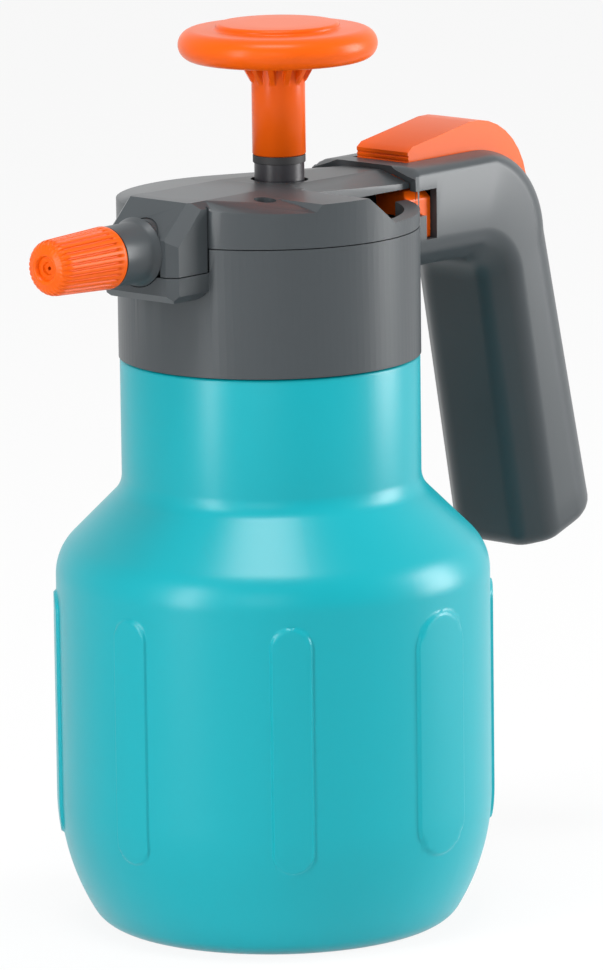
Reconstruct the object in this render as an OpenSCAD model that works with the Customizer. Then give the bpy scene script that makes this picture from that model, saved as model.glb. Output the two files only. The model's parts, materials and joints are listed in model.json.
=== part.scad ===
// Hand pump pressure sprayer with a screw-on head, side handle and thumb trigger.
// Millimetres. The origin is the centre of the bottle's foot, +Z is up,
// the nozzle points along -X and the handle stands out along +X.

/* [Bottle] */
// Outer radius of the straight body wall
body_r = 62; // [58:0.5:66]
// Radius of the ring that the bottle stands on
foot_r = 45; // [42:0.5:48]
// Height at which the curved base meets the straight wall
base_rise = 38; // [34:0.5:42]
// Radius of the small curve at the foot
foot_corner_r = 9; // [7:0.5:11]
// Height of the top of the straight wall
body_top = 101.4; // [95:0.2:108]
// Radius of the shoulder's outer curve
shoulder_r = 15.2; // [12:0.2:18]
// Slope of the shoulder in degrees
shoulder_slope = 45; // [40:0.5:50]
// Radius of the curve between shoulder and neck
neck_fillet_r = 8.3; // [6:0.1:10]
// How far the neck lies inside the head's wall
neck_inset = 0.3; // [0.1:0.05:1]
// Length of the straight neck below the head
neck_len = 33.6; // [30:0.2:38]
// Wall thickness of the bottle
bottle_wall = 2.2; // [1.6:0.1:2.6]
// Depth of the hollow under the foot
foot_recess = 3; // [2:0.25:4]
// How far the threaded mouth lies inside the head's wall
mouth_inset = 5; // [4.6:0.1:5.5]
// Height of the threaded mouth above the neck
mouth_h = 14; // [13:0.25:15]
// Wall thickness of the mouth
mouth_wall = 2.6; // [2:0.1:3]

/* [Raised pads] */
// Number of raised pads round the body
pad_count = 8; // [6:1:8]
// Width of a pad
pad_w = 12; // [9:0.5:15]
// Width of the one wide pad on the left side
wide_pad_w = 20.6; // [17:0.2:24]
// Height of a pad
pad_h = 71; // [60:0.5:76]
// Height of the pads' middle above the foot
pad_mid = 62; // [56:0.5:66]
// How far a pad stands out of the wall
pad_proud = 0.8; // [0.5:0.1:1.2]

/* [Head] */
// Outer radius of the head
head_r = 43; // [42.6:0.1:44]
// Height of the lower half of the head
collar_h = 36.3; // [34:0.1:39]
// Wall thickness of the head
head_wall = 2.6; // [2:0.1:2.9]
// Gap between head and bottle, and between the head's halves
seam_gap = 0.3; // [0.2:0.05:0.6]
// Height of the cover's front rim above the seam
rim_h = 9.7; // [8.5:0.1:11]
// Height of the rim on the right side above the seam
far_rim_h = 8.3; // [7.8:0.1:9.2]
// Height of the raised rim on the left side above the seam
side_rim_h = 12.4; // [11.6:0.1:13]
// Height of the flat top above the seam
top_h = 13.1; // [12.5:0.1:14]
// Height of the low rim beside the handle above the seam
low_rim_h = 4.2; // [3.4:0.1:5]
// Half width of the flat top
top_half_w = 11; // [9:0.25:12]
// Thickness of the deck that closes the bottle
deck_t = 3; // [2.5:0.1:3.5]
// Thickness of the mouth seal
seal_t = 1.9; // [1.5:0.1:2.3]
// Pitch of the head's screw thread
thread_pitch = 5; // [4.5:0.25:5.5]

/* [Nozzle] */
// Half width of the nozzle hood
hood_half_w = 14; // [13:0.25:15]
// How far the hood stands out of the head's wall
hood_reach = 12; // [10:0.25:14]
// Radius of the grey nozzle barrel
barrel_r = 8.6; // [8:0.1:9]
// Length of the barrel in front of the hood
barrel_len = 12.6; // [11:0.2:14]
// Length of the spray cap
cap_len = 24.4; // [23:0.2:27]
// Radius of the cap's front rim
cap_front_r = 4.8; // [4.2:0.1:5.2]
// Radius of the cap's shoulder
cap_shoulder_r = 7.7; // [7.3:0.1:8]
// Number of grip ribs on the cap
cap_ribs = 30; // [24:1:36]
// Radius of the spray hole
spray_r = 0.6; // [0.4:0.1:0.9]

/* [Pump] */
// Distance of the pump axis behind the bottle axis
pump_x = 5; // [4:0.25:6]
// Radius of the palm knob
knob_r = 28.3; // [26:0.1:31]
// Thickness of the knob's rounded rim
knob_t = 8.8; // [8:0.2:10]
// Radius of the knob's raised centre disc
knob_disc_r = 17.2; // [15:0.2:19]
// Height of the knob's raised centre disc
knob_disc_h = 1.6; // [1:0.1:2.2]
// Radius of the knob's shaft
shaft_r = 7.6; // [7.4:0.05:7.8]
// Length of the shaft below the knob
shaft_len = 27.1; // [25:0.1:29]
// How far the shaft's end stands above the head's top
shaft_lift = 6.8; // [6:0.1:8]
// Number of ribs under the knob
knob_ribs = 12; // [8:1:14]
// Radius of the black plunger rod
rod_r = 7.1; // [6.8:0.05:7.2]
// Inner radius of the pump cylinder
cylinder_bore_r = 11.5; // [11:0.1:12]
// Wall thickness of the pump cylinder
cylinder_wall = 1.5; // [1.2:0.1:1.8]
// Length of the pump cylinder below the deck
cylinder_drop = 62; // [60:0.5:66]
// Depth of the piston below the deck's top
piston_depth = 20; // [18:0.5:22]

/* [Handle] */
// Half width of the handle
handle_half_w = 17; // [16.2:0.1:17.6]
// Half width of the handle's flat inner face
grip_face_half_w = 10.4; // [9:0.2:11.5]
// Wall thickness of the handle shell
handle_wall = 2.4; // [2:0.1:2.8]
// Depth of the arm's underside below the head's seam
arm_under = 15.4; // [14.5:0.1:16.5]
// Height of the arm's top above the head's seam
arm_top = 10.5; // [10:0.1:11]
// Gap for the hand between the head's wall and the grip's front, at the arm
hand_gap = 38; // [36:0.5:41]
// Lean of the grip's front in degrees
grip_lean = 10.6; // [8:0.2:13]
// Lean of the grip's back in degrees
back_lean = 13.6; // [11:0.2:15]
// Radius of the inner corner between arm and grip
inner_corner_r = 13; // [11:0.5:15]
// Radius of the outer corner between arm and grip
outer_corner_r = 26.6; // [25:0.2:28]
// Length of the grip below the arm
grip_len = 90; // [80:1:96]

/* [Trigger and lock] */
// Half width of the trigger
trigger_half_w = 9.75; // [9:0.05:10]
// Distance of the trigger's front behind the head's wall
trigger_gap = 6.9; // [6:0.1:8]
// Height of the trigger's front above the arm
trigger_front_h = 6.6; // [5.5:0.1:8]
// Height of the trigger's hump above the arm
trigger_hump_h = 11; // [10:0.1:12]
// Radius of the trigger's rounded back
trigger_back_r = 23.4; // [22.5:0.1:24.4]
// Wall thickness of the trigger
trigger_wall = 2.2; // [1.8:0.1:2.6]
// Radius of the trigger's pivot pin
pivot_r = 2; // [1.8:0.05:2.2]
// Length of the lock slide
lock_len = 10.4; // [9:0.1:11]
// Height of the lock slide with its leg
lock_h = 14.2; // [13:0.1:14.5]
// Length of the lock slide's leg
lock_leg = 4.2; // [3.4:0.1:4.4]

/* [Fluid path] */
// Distance of the dip tube inside the head's wall
dip_inset = 16.4; // [15.6:0.1:16.6]
// Outer radius of the dip tube
dip_r = 4; // [3.5:0.1:4.2]
// Bore radius of the dip tube
dip_bore_r = 2.8; // [2:0.1:2.9]
// Gap between the strainer and the bottle's floor
strainer_gap = 1.2; // [0.8:0.1:2]
// Outer radius of the hoses
hose_r = 2.5; // [2.2:0.05:2.5]
// Bore radius of the hoses
hose_bore_r = 1.5; // [1.2:0.05:1.6]
// Distance of the trigger valve behind the head's wall
valve_out = 14; // [13.6:0.1:15]
// Radius of the trigger valve
valve_r = 6.5; // [6:0.1:6.8]

/* [Hidden] */
$fn = 64;
// Running clearance of a pin in its bore
pin_fit = 0.05;
// Clearance between parts that slide past each other
slide_fit = 0.25;
// Overlap that lets a cut pass through a face
cut = 1;
// Length of a cut that has to clear the whole part
span = 400;
// Number of straight steps in a modelled curve
arc_steps = 8;

// Places measured from the head's wall
neck_r = head_r - neck_inset;
mouth_r = head_r - mouth_inset;
hood_front = head_r + hood_reach;
trigger_front = head_r + trigger_gap;
valve_x = head_r + valve_out;
dip_x = head_r - dip_inset;
grip_x = head_r + hand_gap;

// Heights of the bottle, worked up from the foot
base_side_w = body_r - foot_r;
base_side_r = (base_side_w ^ 2 + base_rise ^ 2 - 2 * base_rise * foot_corner_r)
    / (2 * base_side_w - 2 * foot_corner_r);
base_turn = atan2(foot_corner_r - base_rise, base_side_r - base_side_w);
shoulder_x = body_r - shoulder_r + shoulder_r * sin(shoulder_slope);
fillet_x = neck_r + neck_fillet_r - neck_fillet_r * sin(shoulder_slope);
shoulder_end = body_top + shoulder_r * cos(shoulder_slope)
    + (shoulder_x - fillet_x) * tan(shoulder_slope);
neck_base = shoulder_end + neck_fillet_r * cos(shoulder_slope);
neck_top = neck_base + neck_len;
mouth_top = neck_top + mouth_h;
mouth_bore_r = mouth_r - mouth_wall;
floor_z = foot_recess + bottle_wall;

// Heights of the head, worked up from the neck
collar_bottom = neck_top + seam_gap;
deck_bottom = mouth_top + seal_t;
deck_top = deck_bottom + deck_t;
collar_top = collar_bottom + collar_h;
cover_bottom = collar_top + seam_gap;
head_bore_r = head_r - head_wall;
rim_z = cover_bottom + rim_h;
far_rim_z = cover_bottom + far_rim_h;
ceiling_z = far_rim_z - 0.8;
side_rim_z = cover_bottom + side_rim_h;
top_z = cover_bottom + top_h;
low_rim_z = cover_bottom + low_rim_h;
arm_z0 = cover_bottom - arm_under;
arm_z1 = cover_bottom + arm_top;
roof_t = 2.2;
pocket_floor_z = cover_bottom - 1.3;
pocket_floor_t = 1.8;
pocket_wall = 1.6;
lining_r = head_bore_r - slide_fit;
pocket_r = lining_r - pocket_wall;
window_depth = 8;

// Left rim, seen from the side: where it rises, falls and ends
step_x0 = -21.6;
step_x1 = -19.6;
cut_x0 = -5.2;
cut_x1 = 5.6;

// Spine from the flat top to the handle: ends, narrow end, fall, and slope of its left side in degrees
spine_x0 = -8;
spine_x1 = head_r - 1.4;
spine_end_half_w = 6;
spine_fall = 1.6;
spine_roll = 15.3;
spine_pitch = 3.4;

// Thread on the mouth and in the collar
thread_turns = 1.4;
thread_depth = 1.3;
thread_root_w = 1.8;
thread_crest_w = 1;
thread_start = 3;
thread_room = 2;
collar_bore_r = mouth_r + thread_room;
thread_steps_per_turn = 30;

// Nozzle
nozzle_z = cover_bottom - 0.4;
chin_top = cover_bottom - 6.9;
chin_bottom = cover_bottom - 14.2;
chin_edge = 2.2;
hood_back = head_r - 5;
hood_edge = 3;
hood_face_half_w = hood_half_w - hood_edge;
hood_step = 0.4;
hood_side_front = hood_front - 2.2;
hood_slope_z = nozzle_z + 4.1;
hood_slope_edge = 2.55;
hood_top_edge = 2.1;
groove_w = 0.7;
saddle_r = barrel_r + 1.4;
flare_r = barrel_r + 1.2;
flare_len = 2.4;
hood_bore_r = barrel_r + 0.4;
flange_r = hood_bore_r - slide_fit;
cap_back = -(hood_front + barrel_len);
cap_tip = cap_back - cap_len;
spigot_r = 5.6;
spigot_len = 12;
stub_r = barrel_r - 2;
oring_r = 0.85;
oring_x = cap_back - 5;
cap_bore_r = spigot_r + 1.2;
hose_z = arm_z0 + handle_wall + hose_r + 1.2;
hose_y = hose_r + 0.3;
inlet_r = 3.6;
nozzle_inlet_x = 9 - head_r;
hose_start = nozzle_inlet_x + inlet_r + 0.1;
spigot_bore = 1.5;

// Pump
knob_mid_z = top_z + shaft_lift + shaft_len + knob_t / 2;
knob_under = knob_mid_z - knob_t / 2;
shaft_end = knob_under - shaft_len;
rib_h = 6.5;
rib_reach = 4;
shaft_bore_r = 5.2;
pump_hole_r = shaft_r + 0.6;
guide_bore_r = shaft_r + slide_fit;
cylinder_r = cylinder_bore_r + cylinder_wall;
boss_r = cylinder_r + 2.6;
boss_top = deck_top + 6;
gasket_t = 0.8;
flange_t = 2.4;
cylinder_top = boss_top + gasket_t + flange_t;
guide_h = 5;
cylinder_bottom = deck_top - cylinder_drop;
cylinder_end_t = 2.4;
piston_top = deck_top - piston_depth;
piston_h = 8;
pin_r = 4;
piston_seal_t = 2.4;
bead_h = 2.2;

// Dip tube and valve
tube_top = deck_top + 1;
slot_z = 3;
sleeve_z = 8;
sleeve_h = 6;
elbow_r = 5.4;
valve_bottom = hose_z - hose_r - 0.8;
valve_top = hose_z + hose_r + 1.6;
valve_floor = 2;
valve_cap_t = 1.6;
valve_bore_r = 4;
stem_r = 1.8;
stem_disc_t = 1;
stem_head_r = 4.2;
stem_low = valve_top - 2 * stem_disc_t - 0.3;
hose_joint = 3;
side_hose_y = boss_r + hose_r + 1.5;
bend_r = 11;
back_turn_y = side_hose_y - hose_y;
rear_turn = acos(1 - back_turn_y / (2 * bend_r));
rear_run = 2 * bend_r * sin(rear_turn);

// Handle, seen from the side
arm_x0 = spine_x1 + 0.2;
outer_c = [grip_x - 3, arm_z1 - outer_corner_r];
inner_c = [grip_x + inner_corner_r * (tan(grip_lean) - 1 / cos(grip_lean)), arm_z0 - inner_corner_r];
inner_dir = [sin(grip_lean), -cos(grip_lean)];
outer_dir = [sin(back_lean), -cos(back_lean)];
edge_ease = [1.2, 12];
edge_flat = [trigger_half_w + 0.4, 5];
arm_steps = 3;
grip_steps = 4;
edge_steps = 5;
grip_end_t = 3;
grip_end_rise = 9.3;
grip_end_z = arm_z0 - grip_len;
handle_n = arm_steps + arc_steps + grip_steps;

// Trigger
slot_gap = 1.9;
side_gap = 0.45;
trigger_depth = 6.6;
back_c = [grip_x - 2, arm_z1 + trigger_hump_h - trigger_back_r];
back_turn = 12;
tail_z = arm_z1 - 18.2;
pivot = [grip_x + 15, arm_z1 - 15.1];
pivot_boss_r = 4.2;
pin_boss_r = pivot_r + 1.4;
pin_half = trigger_half_w + side_gap + 2.2;
trigger_front_lean = 0.6;
groove_count = 3;
groove_step = 1.3;
groove_r = 0.35;
push_half = 2;
push_gap = 0.3;
stem_top = arm_z1 - trigger_depth - push_gap;

// Lock slide in its opening under the spine's left edge
lock_x = spine_x1 - 1.5;
lock_z = cover_bottom - 8.1;
lock_top = lock_z + lock_h;
lock_proud = 0.3;
lock_travel = 6;
lock_bar_w = 5.2;
lock_tab_t = 4;
lock_slope = 2.6;
lock_corner = 1.2;
lock_in = 5.3;
lock_way_x = lock_x - 20;
lock_way_top = lock_top + 1;

// Relief valve, clear of the mouth
relief_pin_r = 1.1;
relief_head_r = 1.9;
relief_head_h = 5;
relief_recess_r = 3.2;
relief_recess = 0.8;
relief_top = rim_z - 0.2;
relief_disc_r = 2.1;
relief_disc_t = 1.2;
relief_gap = 2.4;
relief_angle = -139.5;
relief_at = (mouth_bore_r - relief_disc_r - relief_gap) * [cos(relief_angle), sin(relief_angle)];

// Handle screws, seen from the side: one in the arm and three along the grip's middle
screw_r = 1.5;
screw_head_r = 2.9;
screw_head_h = 2;
screw_recess_r = 1.2;
screw_recess = 1.2;
screw_boss_r = 3.6;
screw_sink = 9;
screw_cover = 5.5;
screw_seat = handle_half_w - screw_sink;
screw_tip = handle_half_w - screw_cover;
arm_screw_x = 9.5;
arm_screw_z = 6.4;
screw_shares = [0.13, 0.47, 0.82];
screw_at = concat([[grip_x - arm_screw_x, arm_z0 + arm_screw_z]],
    [for (share = screw_shares) grip_middle(share * grip_len)]);

// Points along an arc about c, from angle a0 to a1
function arc(c, r, a0, a1, n = arc_steps) =
    [for (i = [0 : n]) c + r * [cos(a0 + (a1 - a0) * i / n), sin(a0 + (a1 - a0) * i / n)]];

function flip(list) = [for (i = [len(list) - 1 : -1 : 0]) list[i]];

// Middle of the grip at a depth below the arm, seen from the side
function grip_middle(depth) =
    let (z = arm_z0 - depth, start = outer_c + outer_corner_r * [cos(back_lean), sin(back_lean)])
    [(grip_x + depth * tan(grip_lean) + start[0] + (start[1] - z) * tan(back_lean)) / 2, z];

// Wall of the bottle from foot to neck, moved inwards by t
function bottle_side(t) = concat(
    arc([foot_r, foot_corner_r], foot_corner_r - t, -90, base_turn),
    arc([body_r - base_side_r, base_rise], base_side_r - t, base_turn, 0),
    arc([body_r - shoulder_r, body_top], shoulder_r - t, 0, 90 - shoulder_slope),
    arc([neck_r + neck_fillet_r, neck_base], neck_fillet_r + t, 270 - shoulder_slope, 180));

// Ring or tube about a vertical axis
module ring(r_out, r_in, z0, z1, at = [0, 0]) {
    translate([at[0], at[1], z0])
        difference() {
            cylinder(r = r_out, h = z1 - z0);
            translate([0, 0, -cut])
                cylinder(r = r_in, h = z1 - z0 + 2 * cut);
        }
}

// Round bar about a vertical axis
module post(r, z0, z1, at = [0, 0]) {
    translate([at[0], at[1], z0])
        cylinder(r = r, h = z1 - z0);
}

// Round bar along X
module bar_x(r, x0, x1, z, y = 0) {
    translate([x0, y, z])
        rotate([0, 90, 0])
            cylinder(r = r, h = x1 - x0);
}

// Round bar along Y, at a place given as seen from the side
module bar_y(r, y0, y1, at) {
    translate([at[0], y1, at[1]])
        rotate([90, 0, 0])
            cylinder(r = r, h = y1 - y0);
}

// Outline drawn in the X-Z plane, made solid between y0 and y1
module side_plate(y0, y1) {
    translate([0, y1, 0])
        rotate([90, 0, 0])
            linear_extrude(y1 - y0)
                children();
}

module side_box(x0, x1, y0, y1, z0, z1) {
    translate([x0, y0, z0])
        cube([x1 - x0, y1 - y0, z1 - z0]);
}

// Outline drawn in the Y-Z plane, made solid between x0 and x1
module front_plate(x0, x1) {
    translate([x0, 0, 0])
        rotate([90, 0, 90])
            linear_extrude(x1 - x0)
                children();
}

// Screw ridge of trapezium section, climbing round Z from angle a0
module screw_ridge(root_r, crest_r, z0, a0) {
    steps = round(thread_turns * thread_steps_per_turn);
    points = [for (i = [0 : steps])
        let (a = a0 + 360 * i / thread_steps_per_turn,
             z = z0 + thread_pitch * i / thread_steps_per_turn)
        for (p = [[root_r, -thread_root_w / 2], [crest_r, -thread_crest_w / 2],
                  [crest_r, thread_crest_w / 2], [root_r, thread_root_w / 2]])
        [p[0] * cos(a), p[0] * sin(a), z + p[1]]];
    inward = crest_r < root_r;
    sides = [for (i = [0 : steps - 1]) for (k = [0 : 3])
        for (f = [[0, 1, 5], [0, 5, 4]])
        let (j = (k + 1) % 4,
             ids = [4 * i + k, 4 * i + j, 0, 0, 4 * i + 4 + k, 4 * i + 4 + j])
        [ids[f[0]], ids[f[1]], ids[f[2]]]];
    n = 4 * steps;
    ends = [[2, 1, 0], [3, 2, 0], [n, n + 1, n + 2], [n, n + 2, n + 3]];
    faces = concat(sides, ends);
    polyhedron(points, inward ? [for (f = faces) [f[2], f[1], f[0]]] : faces);
}

// Coil of wire standing on z0, closed to height h
module coil(r, wire_r, z0, h, turns, at) {
    sides = 6;
    per_turn = 12;
    n = turns * per_turn;
    points = [for (i = [0 : n]) for (k = [0 : sides - 1])
        let (a = 360 * i / per_turn, b = 360 * k / sides, q = r + wire_r * cos(b))
        [at[0] + q * cos(a), at[1] + q * sin(a), z0 + wire_r + (h - 2 * wire_r) * i / n + wire_r * sin(b)]];
    faces = concat(
        [for (i = [0 : n - 1]) for (k = [0 : sides - 1])
            let (j = (k + 1) % sides)
            each [[sides * i + k, sides * i + j, sides * (i + 1) + j],
                  [sides * i + k, sides * (i + 1) + j, sides * (i + 1) + k]]],
        [for (k = [1 : sides - 2]) [0, k + 1, k]],
        [for (k = [1 : sides - 2]) [sides * n, sides * n + k, sides * n + k + 1]]);
    polyhedron(points, faces);
}

// Slot-shaped outline, standing on end
module pad_outline(w, h) {
    square([w, h - w], center = true);
    for (s = [-1, 1])
        translate([0, s * (h - w) / 2])
            circle(d = w);
}

module pad(w, angle) {
    rotate([0, 0, angle])
        translate([body_r - bottle_wall / 2 - 4, 0, pad_mid])
            rotate([90, 0, 90])
                linear_extrude(12)
                    pad_outline(w, pad_h);
}

module bottle() {
    foot_in = foot_r - 8;
    outer = concat([[0, foot_recess], [foot_in - foot_recess, foot_recess], [foot_in, 0]],
        bottle_side(0),
        [[neck_r, neck_top], [mouth_r, neck_top], [mouth_r, mouth_top], [mouth_bore_r, mouth_top]]);
    inner_top = [[mouth_bore_r, neck_top - bottle_wall], [neck_r - bottle_wall, neck_top - 3 * bottle_wall]];
    inner_floor = [[foot_in, bottle_wall], [foot_in - foot_recess, floor_z], [0, floor_z]];
    color("#00a0ab")
        union() {
            rotate_extrude($fn = 128)
                polygon(concat(outer, inner_top, flip(bottle_side(bottle_wall)), inner_floor));
            intersection() {
                union() {
                    for (i = [1 : pad_count - 1])
                        pad(pad_w, -90 + i * 360 / pad_count);
                    pad(wide_pad_w, -90);
                }
                difference() {
                    rotate_extrude($fn = 128)
                        polygon(concat([[0, 0]], bottle_side(-pad_proud), [[0, neck_base]]));
                    rotate_extrude($fn = 128)
                        polygon(concat([[0, 0]], bottle_side(bottle_wall / 2), [[0, neck_base]]));
                }
            }
            screw_ridge(mouth_r - 0.4, mouth_r + thread_depth, neck_top + thread_start, 0);
        }
}

module neck_seal() {
    color("#1c1c1e")
        ring(mouth_r, mouth_bore_r, mouth_top, deck_bottom);
}

// Plan of the nozzle hood and chin
module hood_plan() {
    polygon([[-hood_front, -hood_face_half_w], [-hood_side_front, -hood_half_w], [-hood_back, -hood_half_w],
        [-hood_back, hood_half_w], [-hood_side_front, hood_half_w], [-hood_front, hood_face_half_w]]);
}

// Block below the nozzle, with its lower edges cut away
module chin() {
    low = chin_bottom + chin_edge;
    intersection() {
        translate([0, 0, chin_bottom])
            linear_extrude(chin_top - chin_bottom)
                hood_plan();
        side_plate(-hood_half_w, hood_half_w)
            polygon([[-hood_front, chin_top], [-hood_front, low], [-hood_front + chin_edge, chin_bottom],
                [-head_r, chin_bottom], [-head_r + hood_edge, low], [-hood_back, low], [-hood_back, chin_top]]);
        front_plate(-hood_front, -hood_back)
            polygon([[-hood_half_w, chin_top], [-hood_half_w, low], [-hood_half_w + chin_edge, chin_bottom],
                [hood_half_w - chin_edge, chin_bottom], [hood_half_w, low], [hood_half_w, chin_top]]);
    }
}

module head_collar() {
    window_half = handle_half_w + 2 * slide_fit;
    color("#53585a")
        difference() {
            union() {
                ring(head_r, collar_bore_r, collar_bottom, deck_bottom);
                post(head_r, deck_bottom, deck_top);
                ring(head_r, head_bore_r, deck_top, collar_top);
                post(boss_r, deck_top, boss_top, [pump_x, 0]);
                chin();
                screw_ridge(collar_bore_r + 0.4, collar_bore_r - thread_depth,
                    neck_top + thread_start + thread_pitch / 2, 0);
            }
            post(cylinder_r + slide_fit, deck_bottom - cut, boss_top + cut, [pump_x, 0]);
            post(dip_r + pin_fit, deck_bottom - cut, deck_top + cut, [dip_x, 0]);
            post(relief_pin_r + slide_fit, deck_bottom - cut, deck_top + cut, relief_at);
            bar_x(saddle_r, -hood_front - cut, -hood_back + slide_fit, nozzle_z);
            side_box(-hood_front, -hood_back + slide_fit, -hood_half_w - slide_fit, hood_half_w + slide_fit,
                chin_top, collar_top + cut);
            side_box(head_bore_r - window_depth, head_r + cut, -window_half, window_half, arm_z0 - slide_fit,
                collar_top + cut);
        }
}

// Roof from the flat top and the spine down to the rim, which is lower on the right side
module roof_hull() {
    over = head_r + 0.8;
    hull() {
        intersection() {
            translate([0, 0, cover_bottom])
                cylinder(r = over, h = rim_h, $fn = 72);
            side_box(-span, span, -span, 0, cover_bottom, top_z);
        }
        translate([0, 0, cover_bottom])
            cylinder(r = over, h = far_rim_h, $fn = 72);
        side_box(-hood_back - cut, spine_x0, -top_half_w, top_half_w, cover_bottom, top_z);
        side_box(spine_x1, spine_x1 + cut, -spine_end_half_w, spine_end_half_w, cover_bottom, top_z - spine_fall);
        side_box(spine_x1, spine_x1 + cut, -handle_half_w - cut, handle_half_w, cover_bottom, far_rim_z);
    }
}

// Roof over the round head, carried on to the handle
module cover_roof() {
    intersection() {
        roof_hull();
        union() {
            post(head_r, cover_bottom, top_z + cut);
            side_box(0, spine_x1 + cut, -cut, handle_half_w, cover_bottom, top_z + cut);
            side_box(0, spine_x1 + cut, -handle_half_w - cut, 0, low_rim_z + cut, top_z + cut);
        }
    }
}

// Left side of the cover: raised rim, slanted cut and low rim
module cover_left_rim() {
    intersection() {
        post(head_r, cover_bottom, top_z);
        side_plate(-span, -handle_half_w + handle_wall / 2)
            polygon([[step_x0, cover_bottom], [step_x0, rim_z - 0.2], [step_x1, side_rim_z - 0.3],
                [cut_x0, side_rim_z], [cut_x1, low_rim_z], [span, low_rim_z], [span, cover_bottom]]);
    }
}

// Space above the slanted cut and the low rim
module left_cut() {
    side_plate(-span, -handle_half_w)
        polygon([[cut_x0, side_rim_z], [cut_x1, low_rim_z], [span, low_rim_z], [span, span], [cut_x0, span]]);
}

// Space above the sloped left side of the spine
module spine_cut() {
    intersection() {
        translate([spine_x0, -top_half_w, top_z])
            rotate([spine_roll, spine_pitch, 0])
                side_box(-span, span, -span, span, 0, span);
        side_box(cut_x0 + 2 * cut, span, -handle_half_w - cut / 2, cut, cover_bottom, span);
    }
}

// Hollow under the roof, closed on the left by the pocket's wall
module cover_hollow() {
    difference() {
        post(head_bore_r, cover_bottom - cut, ceiling_z);
        side_plate(-span, -handle_half_w + handle_wall)
            polygon([[cut_x0 - roof_t, span], [cut_x0 - roof_t, ceiling_z], [cut_x1 - roof_t, low_rim_z],
                [cut_x1 - roof_t, 0], [span, 0], [span, span]]);
        side_box(-span, roof_t - head_bore_r, -span, span, 0, span);
    }
}

// Floor of the pocket, and the ledge that carries it on below the spine
module pocket_floor() {
    z0 = pocket_floor_z - pocket_floor_t;
    intersection() {
        post(lining_r, z0, cover_bottom + cut / 2);
        side_box(cut_x1 - roof_t, span, -span, -handle_half_w + handle_wall / 2, 0, span);
    }
    intersection() {
        post(lining_r, z0, pocket_floor_z);
        side_box(lock_way_x - cut, span, -handle_half_w + handle_wall / 4, -lock_in + 2 * cut, 0, span);
    }
}

// Pocket beside the spine and the lock's way under the spine's edge
module left_pocket() {
    intersection() {
        post(pocket_r, pocket_floor_z, span);
        side_plate(-span, -handle_half_w)
            polygon([[cut_x1, pocket_floor_z - cut], [span, pocket_floor_z - cut], [span, span], [cut_x1, span]]);
    }
    side_box(lock_way_x, span, -handle_half_w - cut, -lock_in + slide_fit, pocket_floor_z, lock_way_top);
}

// Outline with cut upper edges, wider than the hood
module edged_outline(half_w, top, drop) {
    w = half_w + 2 * hood_edge;
    polygon([[-w, top - span], [-w, top - 2 * drop], [-half_w, top],
        [half_w, top], [w, top - 2 * drop], [w, top - span]]);
}

// Hood over the nozzle: sloped front, cut corners and cut upper edges
module cover_hood() {
    intersection() {
        translate([0, 0, chin_top + seam_gap])
            linear_extrude(span)
                hood_plan();
        front_plate(-span, span)
            edged_outline(hood_face_half_w + hood_step, top_z, hood_top_edge);
        translate([-hood_front, 0, hood_slope_z])
            rotate([0, -45, 0])
                front_plate(-span, span)
                    edged_outline(hood_face_half_w - hood_step, 0, hood_slope_edge);
    }
}

// Narrow grooves where the hood's sides meet the round wall
module hood_grooves() {
    x0 = -sqrt(head_r ^ 2 - hood_half_w ^ 2) - groove_w / 2;
    for (y = [-hood_half_w - cut, hood_half_w - groove_w])
        side_box(x0, x0 + groove_w, y, y + groove_w + cut, chin_top, span);
}

module head_cover() {
    color("#5d6264")
        difference() {
            union() {
                difference() {
                    union() {
                        cover_roof();
                        cover_left_rim();
                        cover_hood();
                    }
                    left_cut();
                    spine_cut();
                    cover_hollow();
                    hood_grooves();
                }
                pocket_floor();
            }
            left_pocket();
            post(pump_hole_r, cover_bottom, top_z + cut, [pump_x, 0]);
            post(relief_recess_r, rim_z - relief_recess, top_z + cut, relief_at);
            post(relief_head_r + slide_fit, cover_bottom, top_z + cut, relief_at);
            bar_x(hood_bore_r, -hood_front - cut, -hood_back + 3, nozzle_z);
            side_box(-hood_front - cut, -hood_back + cut, -hood_bore_r, hood_bore_r, chin_top, nozzle_z);
            difference() {
                post(head_r + slide_fit, 0, cover_bottom);
                post(lining_r + slide_fit / 2, 0, span);
            }
            side_box(spine_x1, span, -span, span, 0, span);
        }
}

// Inner (side 0) and outer (side 1) edge of the handle at step i
function handle_edge(i, side) =
    let (c = side == 0 ? inner_c : outer_c,
         r = side == 0 ? inner_corner_r : outer_corner_r,
         lean = side == 0 ? grip_lean : back_lean,
         dir = side == 0 ? inner_dir : outer_dir,
         z = side == 0 ? arm_z0 : arm_z1,
         start = c + r * [cos(lean), sin(lean)],
         end_z = grip_end_z + (side == 0 ? 0 : grip_end_rise),
         run = (start[1] - end_z) / cos(lean))
    i <= arm_steps ? [arm_x0 + (c[0] - arm_x0) * i / arm_steps, z]
    : i <= arm_steps + arc_steps
        ? let (a = 90 - (90 - lean) * (i - arm_steps) / arc_steps) c + r * [cos(a), sin(a)]
    : start + dir * run * (i - arm_steps - arc_steps) / grip_steps;

// How far step i has turned from the arm (0) to the grip (1)
function grip_share(i) = max(0, min(1, (i - arm_steps) / arc_steps));

// One side of the handle's section at step i, moved inwards by t: [share of depth, width]
function section_half(i, t) =
    let (p0 = handle_edge(i, 0), p1 = handle_edge(i, 1), depth = norm(p1 - p0), m = grip_share(i),
         bevel = handle_half_w - grip_face_half_w,
         ease_v = edge_ease[0] + (edge_ease[1] - edge_ease[0]) * m,
         flat_w = edge_flat[0] + (edge_flat[1] - edge_flat[0]) * m,
         w = handle_half_w - t,
         ease_w = max(handle_half_w - flat_w - t * 0.6, 1),
         v_max = depth - t)
    concat([[t, grip_face_half_w - 0.4 * t], [t + bevel * 0.85, w]],
        [for (k = [0 : edge_steps])
            let (a = 90 * k / edge_steps)
            [v_max - ease_v + ease_v * sin(a), w - ease_w + ease_w * cos(a)]]);

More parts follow.
